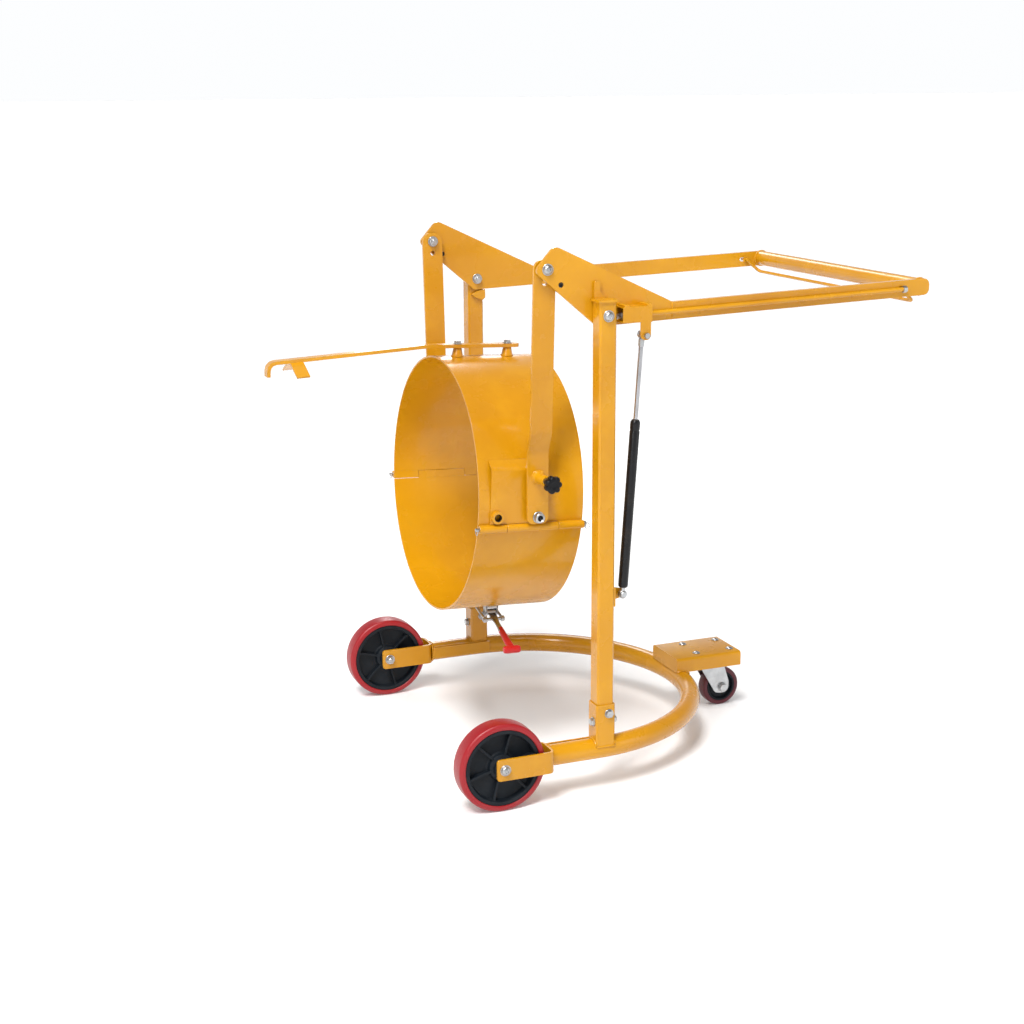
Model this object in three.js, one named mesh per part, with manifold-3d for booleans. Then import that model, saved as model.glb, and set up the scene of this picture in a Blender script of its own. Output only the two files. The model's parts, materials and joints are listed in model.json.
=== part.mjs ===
// Drum dolly: a U-shaped wheeled base, two posts, a lever with a handle loop, two hanging arms
// and a tilting two-door band that grips a 210-litre drum. Millimetres, +Z up, floor at z = 0.
import * as THREE from "three";
import { mergeVertices } from "three/addons/utils/BufferGeometryUtils.js";
import Module from "manifold-3d";

const wasm = await Module();
wasm.setup();

// Stations are measured from the posts' axis on the floor; the group is centred at the end.
const GAP = 0.3;
const STEEL = 4;

const WHEEL_RADIUS = 101.5;
const WHEEL_WIDTH = 48;
const WHEEL_X = -251;
const WHEEL_Y = 405;
const WHEEL_CORE_RADIUS = 88;
const WHEEL_SIDES = 24;
const AXLE_RADIUS = 6;
const FORK_HALF_WIDTH = 35.6;
const FORK_PLATE = 6;
const FORK_HEIGHT = 50;
const FORK_WEB_X = -131.5;
const FORK_FRONT_X = -270;

const TRACK_Y = 395;
const TUBE_RADIUS = 24;
const TUBE_WALL = 3;
const TUBE_Z = 101;
const RING_X = -15;
const LEG_BAR_DEPTH = 28;

const POST_SIZE = 40;
const POST_WALL = 3;
const POST_TOP = 1106;
const SOCKET_SIZE = 46;
const SOCKET_TOP = 209;
const SOCKET_BOTTOM = 110;
const BOLT_RADIUS = 5;

const LEVER_X = 0;
const LEVER_Z = 1077;
const LEVER_PLATE_Y = 365;
const LEVER_PLATE = 8;
const LEVER_BOLT_RADIUS = 6;
const HANDLE_START_X = 172.3;
const HANDLE_END_X = 832;
const HANDLE_START_Z = 1075;
const HANDLE_RISE = THREE.MathUtils.degToRad(1.8);
const HANDLE_DEPTH = 38;
const HANDLE_BAR_Y = 361.5;
const HANDLE_BAR = 12;
const GRIP_X = 813;
const GRIP_RADIUS = 19;
const SLOT_X = 764;
const LOCK_JOG_X = 94;
const LOCK_BOLT_RADIUS = 6;

const ARM_X = -122;
const ARM_WIDTH = 50;
const ARM_PLATE = 8;
const ARM_TOP = 1196;
const ARM_BOTTOM = 614.5;
const ARM_BOLT_Z = 1176;
const ARM_FOOT_Y = 319;
const PLUNGER_Z = 720;

const HOLDER_Z = 630;
const HOLDER_TILT = THREE.MathUtils.degToRad(2.5);
const BAND_RISE = 15;
const BAND_RADIUS = 296;
const BAND_FRONT = -131;
const BAND_BACK = 118;
const HINGE_Y = 301.2;
const HINGE_Z = -26;
const BARREL_RADIUS = 9;
const PIN_RADIUS = 4;
const KNUCKLES = [BAND_FRONT, -67, 56, BAND_BACK];
const BRACKET_Y = 300;
const INDEX_RADIUS = 90;

const CASTER_X = 475;
const CASTER_TRAIL = 38;
const CASTER_RADIUS = 50;
const CASTER_WIDTH = 32;
const CASTER_SIDES = 20;
const TRAY_TOP = 157;
const TRAY_START_X = 359;
const TRAY_END_X = 539;
const TRAY_HALF_WIDTH = 67.5;

const STRUT_FOOT = new THREE.Vector3(48, -TRACK_Y, 455);
const STRUT_HEAD = new THREE.Vector3(88, -TRACK_Y, 1031);
const STRUT_RADIUS = 11;
const STRUT_BODY = 392;
const STRUT_ROD_RADIUS = 5;

const X_AXIS = new THREE.Vector3(1, 0, 0);
const Y_AXIS = new THREE.Vector3(0, 1, 0);
const Z_AXIS = new THREE.Vector3(0, 0, 1);

// ---------------------------------------------------------------- solids

// Reads a geometry as a closed solid.
function solidOf(geometry) {
  const loose = geometry.index ? geometry.toNonIndexed() : geometry;
  const bare = new THREE.BufferGeometry();
  bare.setAttribute("position", loose.getAttribute("position"));
  const merged = mergeVertices(bare, 1e-3);
  const vertProperties = merged.attributes.position.array;
  const triVerts = new Uint32Array(merged.index.array);
  return new wasm.Manifold(new wasm.Mesh({ numProp: 3, vertProperties, triVerts }));
}

// Turns a solid back into a geometry.
function geometryOf(solid) {
  const { vertProperties, triVerts } = solid.getMesh();
  const geometry = new THREE.BufferGeometry();
  geometry.setAttribute("position", new THREE.BufferAttribute(vertProperties, 3));
  geometry.setIndex(new THREE.BufferAttribute(triVerts, 1));
  return geometry;
}

function join(first, ...others) {
  return geometryOf(others.reduce((sum, other) => sum.add(solidOf(other)), solidOf(first)));
}

function cut(body, ...tools) {
  return geometryOf(tools.reduce((rest, tool) => rest.subtract(solidOf(tool)), solidOf(body)));
}

function common(first, second) {
  return geometryOf(solidOf(first).intersect(solidOf(second)));
}

// A box between two opposite corners.
function block([x0, y0, z0], [x1, y1, z1]) {
  const box = new THREE.BoxGeometry(Math.abs(x1 - x0), Math.abs(y1 - y0), Math.abs(z1 - z0));
  return box.translate((x0 + x1) / 2, (y0 + y1) / 2, (z0 + z1) / 2);
}

// A round bar between two points.
function rod(from, to, radius, sides = 16) {
  const start = new THREE.Vector3(...from);
  const run = new THREE.Vector3(...to).sub(start);
  const bar = new THREE.CylinderGeometry(radius, radius, run.length(), sides);
  bar.applyQuaternion(new THREE.Quaternion().setFromUnitVectors(Y_AXIS, run.clone().normalize()));
  const middle = start.addScaledVector(run, 0.5);
  return bar.translate(middle.x, middle.y, middle.z);
}

// A turned body about +Y through the origin; the profile is [radius, height] pairs, bottom first.
function turned(profile, sides = 20) {
  const points = profile.map(([radius, height]) => new THREE.Vector2(radius, height));
  return new THREE.LatheGeometry(points, sides, Math.PI / sides);
}

// A bolt along +Y: the grip runs from 0 to the given length, washer and hexagon outside each end.
function bolt(grip, radius, sides = 10) {
  const washer = radius * 0.3;
  const head = radius * 1.3;
  const shank = turned([
    [0, -washer - head],
    [radius, -washer - head],
    [radius, -washer],
    [radius * 2.1, -washer],
    [radius * 2.1, -GAP],
    [radius, -GAP],
    [radius, grip + GAP],
    [radius * 2.1, grip + GAP],
    [radius * 2.1, grip + washer],
    [radius, grip + washer],
    [radius, grip + washer + head * 1.4],
    [0, grip + washer + head * 1.4],
  ], sides);
  const near = hexagon(radius * 1.8, -washer - head, -washer + 0.1);
  const far = hexagon(radius * 1.8, grip + washer - 0.1, grip + washer + head);
  return join(shank, near, far);
}

function hexagon(radius, from, to) {
  return new THREE.CylinderGeometry(radius, radius, to - from, 6).translate(0, (from + to) / 2, 0);
}

// Turns a body made along +Y so that it runs along the given direction from the given point.
function place(geometry, direction, [x, y, z]) {
  const turn = new THREE.Quaternion().setFromUnitVectors(Y_AXIS, direction.clone().normalize());
  return geometry.applyQuaternion(turn).translate(x, y, z);
}

// ---------------------------------------------------------------- flat plates and bent bars

// Samples the arc that rounds one corner of a path.
function cornerArc(before, corner, after, radius) {
  const toBefore = before.clone().sub(corner).normalize();
  const toAfter = after.clone().sub(corner).normalize();
  const half = Math.acos(THREE.MathUtils.clamp(toBefore.dot(toAfter), -1, 1)) / 2;
  const toCentre = toBefore.clone().add(toAfter).normalize();
  const centre = corner.clone().addScaledVector(toCentre, radius / Math.sin(half));
  const start = corner.clone().addScaledVector(toBefore, radius / Math.tan(half)).sub(centre);
  const side = Math.sign(toBefore.cross(toAfter)) || 1;
  const sweep = -side * (Math.PI - 2 * half);
  const steps = radius > 5 ? Math.max(2, Math.ceil(Math.abs(sweep) / 0.5)) : 1;
  const points = [];
  for (let i = 0; i <= steps; i += 1) {
    const spoke = start.clone().rotateAround(new THREE.Vector2(), (sweep * i) / steps);
    points.push(spoke.add(centre));
  }
  return points;
}

// Rounds the corners of a path given as [u, v, radius] rows; an open path keeps its two ends.
function rounded(rows, closed = true) {
  const corners = rows.map(([u, v]) => new THREE.Vector2(u, v));
  return rows.flatMap(([, , radius = 0], i) => {
    const isEnd = !closed && (i === 0 || i === rows.length - 1);
    if (isEnd || radius === 0) return [corners[i]];
    const before = corners[(i + rows.length - 1) % rows.length];
    const after = corners[(i + 1) % rows.length];
    return cornerArc(before, corners[i], after, radius);
  });
}

// The outline of a strip of even thickness centred on an open path.
function strip(path, thickness) {
  const normals = path.map((point, i) => {
    const back = path[Math.max(i - 1, 0)];
    const ahead = path[Math.min(i + 1, path.length - 1)];
    const into = point.clone().sub(back).normalize();
    const out = ahead.clone().sub(point).normalize();
    const along = into.clone().add(out).normalize();
    const spread = i > 0 && i < path.length - 1 ? Math.max(0.3, along.dot(out)) : 1;
    return new THREE.Vector2(-along.y, along.x).multiplyScalar(1 / spread);
  });
  const left = path.map((point, i) => point.clone().addScaledVector(normals[i], thickness / 2));
  const right = path.map((point, i) => point.clone().addScaledVector(normals[i], -thickness / 2));
  return [...left, ...right.reverse()];
}

function extruded(outline, depth) {
  const shape = new THREE.Shape(outline);
  return new THREE.ExtrudeGeometry(shape, { depth, bevelEnabled: false });
}

// A plate whose outline lies in the XZ plane.
function plateXZ(outline, y0, y1) {
  return extruded(outline, y1 - y0).rotateX(Math.PI / 2).translate(0, y1, 0);
}

// A plate whose outline lies in the XY plane.
function plateXY(outline, z0, z1) {
  return extruded(outline, z1 - z0).translate(0, 0, z0);
}

// A bar whose section lies in the YZ plane.
function plateYZ(outline, x0, x1) {
  const turn = new THREE.Matrix4().makeBasis(Y_AXIS, Z_AXIS, X_AXIS);
  return extruded(outline, x1 - x0).applyMatrix4(turn).translate(x0, 0, 0);
}

// A rectangle with rounded corners, as an outline.
function roundedRectangle(u0, u1, v0, v1, radius) {
  return rounded([
    [u0, v0, radius],
    [u1, v0, radius],
    [u1, v1, radius],
    [u0, v1, radius],
  ]);
}

// A hole or a pin along Y.
function crossRod(x, z, radius, y0, y1, sides = 16) {
  return rod([x, y0, z], [x, y1, z], radius, sides);
}

// ---------------------------------------------------------------- materials

function material(name, color, metalness, roughness) {
  const made = new THREE.MeshStandardMaterial({ color, metalness, roughness });
  made.name = name;
  return made;
}

const framePaint = () => material("frame_paint", 0xe8a014, 0.1, 0.45);
const zincSteel = () => material("zinc_steel", 0xa8adb0, 0.9, 0.4);
const chromeSteel = () => material("chrome_rod", 0xd8dadc, 1, 0.15);
const blackPaint = () => material("black_paint", 0x15161a, 0.2, 0.4);
const redTyre = () => material("red_tyre", 0xc82328, 0, 0.6);
const darkCore = () => material("wheel_core", 0x232d37, 0, 0.6);
const maroonTyre = () => material("maroon_tyre", 0x5a1423, 0, 0.5);
const blackPlastic = () => material("black_plastic", 0x16171b, 0, 0.5);
const redGrip = () => material("red_grip", 0xb81f22, 0, 0.5);

function add(group, name, geometry, paint) {
  const mesh = new THREE.Mesh(geometry, paint);
  mesh.name = name;
  group.add(mesh);
}

// ---------------------------------------------------------------- base

// The half circle of the base tube behind the posts, from the near leg round to the far leg.
class HalfRing extends THREE.Curve {
  getPoint(t) {
    const angle = Math.PI * (t - 0.5);
    return new THREE.Vector3(
      RING_X + TRACK_Y * Math.cos(angle),
      TRACK_Y * Math.sin(angle),
      TUBE_Z,
    );
  }
}

// The base tube as one solid bar: two straight legs and the half circle that joins them.
function tubeSolid(radius, startX, sides) {
  const section = new THREE.Shape();
  section.absarc(0, 0, radius, 0, Math.PI * 2);
  const extrudePath = new HalfRing();
  const options = { steps: 24, curveSegments: sides / 2, bevelEnabled: false, extrudePath };
  const ring = new THREE.ExtrudeGeometry(section, options);
  const legs = [-TRACK_Y, TRACK_Y].map((y) => {
    return rod([startX, y, TUBE_Z], [RING_X + 0.5, y, TUBE_Z], radius, sides);
  });
  return join(ring, ...legs);
}

function baseTube() {
  const start = FORK_WEB_X + GAP;
  return cut(tubeSolid(TUBE_RADIUS, start, 16), tubeSolid(TUBE_RADIUS - TUBE_WALL, start - 1, 8));
}

const TUBE_CLEARANCE = tubeSolid(TUBE_RADIUS + 3 * GAP, FORK_WEB_X - 1, 16);

// A wheel fork: one flat bar bent to a U round the wheel, welded to the end of the tube.
function wheelFork() {
  const side = FORK_HALF_WIDTH - FORK_PLATE / 2;
  const web = FORK_WEB_X - FORK_PLATE / 2;
  const path = rounded([
    [FORK_FRONT_X, -WHEEL_Y - side],
    [web, -WHEEL_Y - side, 13],
    [web, -WHEEL_Y + side, 13],
    [FORK_FRONT_X, -WHEEL_Y + side],
  ], false);
  const low = WHEEL_RADIUS - FORK_HEIGHT / 2;
  const high = WHEEL_RADIUS + FORK_HEIGHT / 2;
  const bent = plateXY(strip(path, FORK_PLATE), low, high);
  const outline = rounded([
    [FORK_FRONT_X, low, 8],
    [FORK_WEB_X + 1, low],
    [FORK_WEB_X + 1, high],
    [FORK_FRONT_X, high, 8],
  ]);
  const trimmed = common(bent, plateXZ(outline, -WHEEL_Y - 60, -WHEEL_Y + 60));
  const hole = crossRod(WHEEL_X, WHEEL_RADIUS, AXLE_RADIUS + GAP, -WHEEL_Y - 60, -WHEEL_Y + 60);
  return cut(trimmed, hole);
}

function wheelAxle() {
  const grip = 2 * FORK_HALF_WIDTH;
  const start = [WHEEL_X, -WHEEL_Y - FORK_HALF_WIDTH, WHEEL_RADIUS];
  return place(bolt(grip, AXLE_RADIUS), Y_AXIS, start);
}

// A tyre with rounded shoulders; its flats put one facet on the floor.
function tyre(radius, width, inner, shoulder, sides) {
  const reach = radius / Math.cos(Math.PI / sides);
  const half = width / 2;
  return turned([
    [inner, -half],
    [reach - shoulder, -half],
    [reach - shoulder * 0.3, -half + shoulder * 0.3],
    [reach, -half + shoulder],
    [reach, half - shoulder],
    [reach - shoulder * 0.3, half - shoulder * 0.3],
    [reach - shoulder, half],
    [inner, half],
    [inner, -half],
  ], sides);
}

// A dished wheel core with a hub, a web, a rim and radial ribs.
function wheelCore() {
  const rim = WHEEL_CORE_RADIUS - GAP;
  const hub = FORK_HALF_WIDTH - FORK_PLATE - 1;
  const half = WHEEL_WIDTH / 2 - 2;
  const bore = AXLE_RADIUS + GAP;
  const body = turned([
    [bore, -hub],
    [22, -hub],
    [30, -half + 6],
    [30, -5],
    [rim - 12, -5],
    [rim - 10, -half],
    [rim, -half],
    [rim, half],
    [rim - 10, half],
    [rim - 12, 5],
    [30, 5],
    [30, half - 6],
    [22, hub],
    [bore, hub],
    [bore, -hub],
  ], WHEEL_SIDES);
  const ribs = [];
  for (let i = 0; i < 6; i += 1) {
    const rib = block([-3, -half + 4, 26], [3, half - 4, rim - 9]);
    ribs.push(rib.rotateY((i * Math.PI) / 3));
  }
  return join(body, ...ribs);
}

function atWheel(geometry) {
  return geometry.translate(WHEEL_X, -WHEEL_Y, WHEEL_RADIUS);
}

// The flat bar that stiffens the inner side of each leg.
function legBar() {
  const inner = -TRACK_Y + TUBE_RADIUS + GAP;
  const low = TUBE_Z + 3 - LEG_BAR_DEPTH / 2;
  const bar = block([FORK_WEB_X + GAP, inner, low], [25, inner + FORK_PLATE, low + LEG_BAR_DEPTH]);
  return cut(bar, TUBE_CLEARANCE);
}

function squareTube(size, wall, bottom, top) {
  const half = size / 2;
  const outer = roundedRectangle(-half, half, -TRACK_Y - half, -TRACK_Y + half, 4);
  const inside = half - wall;
  const inner = block(
    [-inside, -TRACK_Y - inside, bottom - 1],
    [inside, -TRACK_Y + inside, top + 1],
  );
  return cut(plateXY(outer, bottom, top), inner);
}

const SIDE_BOLT = { x: 7, z: 188 };
const CROSS_BOLT = { y: -400, z: 167 };

function boltHoles() {
  const { x, z } = SIDE_BOLT;
  const side = crossRod(x, z, BOLT_RADIUS + GAP, -TRACK_Y - 40, -TRACK_Y + 40, 16);
  const { y } = CROSS_BOLT;
  const cross = rod([-40, y, CROSS_BOLT.z], [40, y, CROSS_BOLT.z], BOLT_RADIUS + GAP, 16);
  return [side, cross];
}

function postSocket() {
  const wall = (SOCKET_SIZE - POST_SIZE) / 2 - GAP;
  const tube = squareTube(SOCKET_SIZE, wall, SOCKET_BOTTOM, SOCKET_TOP);
  return cut(tube, TUBE_CLEARANCE, ...boltHoles());
}

// A post with its cap plate and the small upright tab on the cap.
function post() {
  const cap = POST_SIZE / 2 + 4;
  const bottom = TUBE_Z + TUBE_RADIUS + 2;
  const tube = squareTube(POST_SIZE, POST_WALL, bottom, POST_TOP + 1);
  const half = POST_SIZE / 2;
  const lid = block([-cap, -TRACK_Y - cap, POST_TOP], [half, -TRACK_Y + half, POST_TOP + 5]);
  const tab = plateXZ(rounded([
    [-18, POST_TOP, 0],
    [9, POST_TOP, 0],
    [9, POST_TOP + 5, 0],
    [-4, POST_TOP + 20, 4],
    [-4, POST_TOP + 42, 3],
    [-18, POST_TOP + 42, 3],
  ]), -TRACK_Y + 14, -TRACK_Y + 19);
  const pivot = crossRod(LEVER_X, LEVER_Z, LEVER_BOLT_RADIUS + GAP, -TRACK_Y - 40, -TRACK_Y + 40);
  return cut(join(tube, lid, tab), pivot, ...boltHoles());
}

// The near post also takes the lock bolt in the face behind the lever bracket.
function nearPost() {
  const z = handleZ(LOCK_JOG_X);
  return cut(post(), rod([10, -TRACK_Y, z], [30, -TRACK_Y, z], LOCK_BOLT_RADIUS + 2 * GAP));
}

function leverStop() {
  const outline = [
    [-14, 1038],
    [-6, 1030],
    [16, 1023],
    [22, 1029],
    [22, 1050.2],
    [2, 1046.5],
  ].map(([x, z]) => new THREE.Vector2(x, z));
  const face = -TRACK_Y + POST_SIZE / 2 + GAP;
  return plateXZ(outline, face, face + 9);
}

function socketSideBolt() {
  const start = [SIDE_BOLT.x, -TRACK_Y - SOCKET_SIZE / 2, SIDE_BOLT.z];
  return place(bolt(SOCKET_SIZE, BOLT_RADIUS), Y_AXIS, start);
}

function socketCrossBolt() {
  const start = [-SOCKET_SIZE / 2, CROSS_BOLT.y, CROSS_BOLT.z];
  return place(bolt(SOCKET_SIZE, BOLT_RADIUS), X_AXIS, start);
}

// The bolt the lever turns on, through the post and the lever plate.
function leverBolt() {
  const outer = -TRACK_Y - POST_SIZE / 2;
  const grip = -LEVER_PLATE_Y - outer;
  return place(bolt(grip, LEVER_BOLT_RADIUS), Y_AXIS, [LEVER_X, outer, LEVER_Z]);
}

// ---------------------------------------------------------------- caster

// The folded tray that carries the caster, cut to sit over the base tube.
function casterBracket() {
  const low = 121;
  const profile = rounded([
    [-TRAY_HALF_WIDTH, low],
    [-TRAY_HALF_WIDTH, TRAY_TOP, 8],
    [TRAY_HALF_WIDTH, TRAY_TOP, 8],
    [TRAY_HALF_WIDTH, low],
  ]);
  const side = TRAY_HALF_WIDTH - STEEL;
  const hollow = rounded([
    [-side, low - 1],
    [-side, TRAY_TOP - STEEL, 4],
    [side, TRAY_TOP - STEEL, 4],
    [side, low - 1],
  ]);
  const tray = plateYZ(profile, TRAY_START_X, TRAY_END_X);
  const inside = plateYZ(hollow, TRAY_START_X + STEEL, TRAY_END_X + 1);
  return cut(tray, inside, TUBE_CLEARANCE);
}

function casterPlate() {
  const top = TRAY_TOP - STEEL - GAP;
  const outline = roundedRectangle(CASTER_X - 57, CASTER_X + 57, -50, 50, 6);
  return plateXY(outline, top - 5, top);
}

// A fork leg that tapers from the swivel head down to the wheel axle.
function casterLeg(y0, y1) {
  const axle = CASTER_X + CASTER_TRAIL;
  const outline = rounded([
    [CASTER_X - 30, 133],
    [CASTER_X - 26, 112, 20],
    [axle - 20, CASTER_RADIUS - 14, 16],
    [axle + 18, CASTER_RADIUS - 16, 16],
    [axle + 18, CASTER_RADIUS + 14, 16],
    [CASTER_X + 34, 133],
  ]);
  return plateXZ(outline, y0, y1);
}

function casterYoke() {
  const top = TRAY_TOP - STEEL - GAP - 5 - GAP;
  const head = turned([
    [0, 128],
    [34, 128],
    [38, 134],
    [34, top],
    [0, top],
  ], 24);
  const seat = place(head, Z_AXIS, [CASTER_X, 0, 0]);
  const inner = CASTER_WIDTH / 2 + 3;
  const legs = [casterLeg(-inner - 4, -inner), casterLeg(inner, inner + 4)];
  const axle = CASTER_X + CASTER_TRAIL;
  const bore = crossRod(axle, CASTER_RADIUS, AXLE_RADIUS + GAP, -inner - 9, inner + 9);
  return cut(join(seat, ...legs), bore);
}

function casterAxle() {
  const side = CASTER_WIDTH / 2 + 7;
  return place(bolt(2 * side, AXLE_RADIUS), Y_AXIS, [CASTER_X + CASTER_TRAIL, -side, CASTER_RADIUS]);
}

function casterCore() {
  const bore = AXLE_RADIUS + GAP;
  const rim = CASTER_RADIUS - 11 - GAP;
  const half = CASTER_WIDTH / 2;
  const core = turned([
    [bore, -half - 2],
    [14, -half - 2],
    [15, -8],
    [rim - 6, -8],
    [rim - 4, -half],
    [rim, -half],
    [rim, half],
    [rim - 4, half],
    [rim - 6, 8],
    [15, 8],
    [14, half + 2],
    [bore, half + 2],
    [bore, -half - 2],
  ], CASTER_SIDES);
  return core.translate(CASTER_X + CASTER_TRAIL, 0, CASTER_RADIUS);
}

function casterTyre() {
  const ring = tyre(CASTER_RADIUS, CASTER_WIDTH, CASTER_RADIUS - 11, 6, CASTER_SIDES);
  return ring.translate(CASTER_X + CASTER_TRAIL, 0, CASTER_RADIUS);
}

// ---------------------------------------------------------------- lever and handle

function leverPlate() {
  const outline = rounded([
    [-152, 1173, 12],
    [-8, 1050, 8],
    [HANDLE_START_X - GAP, 1056],
    [HANDLE_START_X - GAP, 1094],
    [-106, 1225, 16],
  ]);
  const plate = plateXZ(outline, -LEVER_PLATE_Y - LEVER_PLATE, -LEVER_PLATE_Y);
  const span = [-LEVER_PLATE_Y - 20, -LEVER_PLATE_Y + 20];
  return cut(
    plate,
    crossRod(LEVER_X, LEVER_Z, LEVER_BOLT_RADIUS + GAP, ...span),
    crossRod(ARM_X, ARM_BOLT_Z, LEVER_BOLT_RADIUS + GAP, ...span),
    crossRod(ARM_X + 30.5, ARM_BOLT_Z - 33.5, 6, ...span),
  );
}

// Height of the handle bars' centre line above the floor.
function handleZ(x) {
  return HANDLE_START_Z + (x - HANDLE_START_X) * Math.tan(HANDLE_RISE);
}

function handleBar() {
  const half = HANDLE_DEPTH / 2;
  const outline = rounded([
    [HANDLE_START_X, handleZ(HANDLE_START_X) - half],
    [HANDLE_END_X, handleZ(HANDLE_END_X) - half, 14],
    [HANDLE_END_X, handleZ(HANDLE_END_X) + half, 14],
    [HANDLE_START_X, handleZ(HANDLE_START_X) + half],
  ]);
  const y0 = -HANDLE_BAR_Y - HANDLE_BAR;
  const bar = plateXZ(outline, y0, -HANDLE_BAR_Y);
  const z = handleZ(SLOT_X);
  const slot = roundedRectangle(SLOT_X - 17, SLOT_X + 7, z - 5.5, z + 5.5, 5);
  return cut(bar, plateXZ(slot, y0 - 1, -HANDLE_BAR_Y + 1));
}

function gripTube() {
  const z = handleZ(GRIP_X);
  const end = HANDLE_BAR_Y - GAP;
  const outer = rod([GRIP_X, -end, z], [GRIP_X, end, z], GRIP_RADIUS, 24);
  return cut(outer, rod([GRIP_X, -end - 1, z], [GRIP_X, end + 1, z], GRIP_RADIUS - 2.5, 24));
}

const BRACKET_BOX = { x0: 34, x1: 103, z0: 1059.5, z1: 1093.5 };

// The open box on the lever plate, with the hanging stem that carries the strut's upper stud.
function strutUpperBracket() {
  const { x0, x1, z0, z1 } = BRACKET_BOX;
  const back = -LEVER_PLATE_Y - LEVER_PLATE - GAP;
  const front = -TRACK_Y - 20;
  const box = block([x0, front, z0], [x1, back, z1]);
  const hollow = block([x0 - 1, front + 3, z0 + 3], [x1 + 1, back - 3, z1 - 3]);
  const stemOutline = rounded([
    [STRUT_HEAD.x - 12, z0 + 1],
    [STRUT_HEAD.x - 12, STRUT_HEAD.z - 10, 10],
    [STRUT_HEAD.x + 12, STRUT_HEAD.z - 10, 10],
    [STRUT_HEAD.x + 12, z0 + 1],
  ]);
  const stem = plateXZ(stemOutline, front, front + 4);
  const stud = crossRod(STRUT_HEAD.x, STRUT_HEAD.z, 3.6, front - 5, STRUT_HEAD.y + 6);
  return join(cut(box, hollow), stem, stud);
}

const RELEASE_Y = -HANDLE_BAR_Y - HANDLE_BAR - 8.5;

// The long rod on the near bar, stepped over inside the box to the bolt that locks the post.
function releaseRod() {
  const near = RELEASE_Y;
  const z = handleZ(SLOT_X);
  const start = handleZ(LOCK_JOG_X);
  const long = rod([LOCK_JOG_X - 1, near, start], [SLOT_X + 4, near, z], 5);
  const step = block([LOCK_JOG_X - 10, -TRACK_Y - 6, start - 6], [LOCK_JOG_X, near + 3, start + 6]);
  const tip = POST_SIZE / 2 + 5;
  const lock = rod([tip, -TRACK_Y, start], [LOCK_JOG_X - 9, -TRACK_Y, start], LOCK_BOLT_RADIUS);
  return join(long, step, lock);
}

// The squeeze bail under the grip: a bent bar whose two ends run in the slots of the bars.
function releaseBail() {
  const z = handleZ(SLOT_X);
  const side = HANDLE_BAR_Y - 8;
  const corner = [GRIP_X - 10, handleZ(GRIP_X) - 34];
  const pieces = [-1, 1].map((s) => rod([SLOT_X, s * side, z], [corner[0], s * side, corner[1]], 4, 14));
  const cross = rod([corner[0], -side - 2, corner[1]], [corner[0], side + 2, corner[1]], 4, 14);
  const nearPin = crossRod(SLOT_X, z, 4.5, RELEASE_Y + 5 + GAP, -side + 3, 14);
  const farPin = crossRod(SLOT_X, z, 4.5, side - 3, HANDLE_BAR_Y + HANDLE_BAR + 4, 14);
  return join(cross, ...pieces, nearPin, farPin);
}

// ---------------------------------------------------------------- strut

function alongStrut(geometry) {
  const run = STRUT_HEAD.clone().sub(STRUT_FOOT);
  return place(geometry, run, STRUT_FOOT.toArray());
}

// The bracket on the near post that carries the strut's lower stud.
function strutLowerBracket() {
  const face = POST_SIZE / 2 + GAP;
  const { x, y, z } = STRUT_FOOT;
  const plate = block([face, y - 16, z - 22], [face + STEEL, y + 16, z + 22]);
  const ear = plateXZ(rounded([
    [face + 1, z - 14],
    [x + 9, z - 10, 9],
    [x + 9, z + 10, 9],
    [face + 1, z + 14],
  ]), y + 11, y + 15);
  return join(plate, ear, crossRod(x, z, 4.5, y - 6, y + 12));
}

// An eye round the stud at one end of the strut.
function strutEye(height) {
  const eye = rod([0, height, -5], [0, height, 5], 9.5);
  return { eye, bore: rod([0, height, -8], [0, height, 8], 6.8) };
}

function strutCylinder() {
  const { eye, bore } = strutEye(0);
  const body = turned([
    [0, 7],
    [6, 7],
    [6, 16],
    [STRUT_RADIUS, 18],
    [STRUT_RADIUS, STRUT_BODY - 2],
    [STRUT_RADIUS - 2, STRUT_BODY],
    [STRUT_ROD_RADIUS + GAP, STRUT_BODY],
    [STRUT_ROD_RADIUS + GAP, 150],
    [0, 150],
  ], 16);
  return alongStrut(cut(join(body, eye), bore));
}

function strutRod() {
  const length = STRUT_HEAD.distanceTo(STRUT_FOOT);
  const { eye, bore } = strutEye(length);
  const shaft = turned([
    [0, 190],
    [STRUT_ROD_RADIUS, 190],
    [STRUT_ROD_RADIUS, length - 5],
    [0, length - 5],
  ], 16);
  return alongStrut(cut(join(shaft, eye), bore));
}

// ---------------------------------------------------------------- arms

// A hanging arm: a flat bar joggled inwards below its middle.
function arm() {
  const t = ARM_PLATE / 2;
  const path = rounded([
    [-360 + t, ARM_TOP + 4],
    [-339 + t, 822, 40],
    [-ARM_FOOT_Y + t, 775, 40],
    [-ARM_FOOT_Y + t, ARM_BOTTOM - 2],
  ], false);
  const half = ARM_WIDTH / 2;
  const folded = plateYZ(strip(path, ARM_PLATE), ARM_X - half - 1, ARM_X + half + 1);
  const outline = rounded([
    [ARM_X - half, ARM_BOTTOM, 14],
    [ARM_X + half, ARM_BOTTOM, 14],
    [ARM_X + half, ARM_TOP, 20],
    [ARM_X - half, ARM_TOP, 20],
  ]);
  const bar = common(folded, plateXZ(outline, -400, -280));
  return cut(
    bar,
    crossRod(ARM_X, ARM_BOLT_Z, LEVER_BOLT_RADIUS + GAP, -400, -280),
    crossRod(ARM_X, ARM_BOLT_Z - 29, 6, -400, -280),
    crossRod(ARM_X, HOLDER_Z, 8 + GAP, -400, -280),
  );
}

function nearArm() {
  return cut(arm(), crossRod(ARM_X, PLUNGER_Z, 8.2, -400, -280));
}

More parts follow.
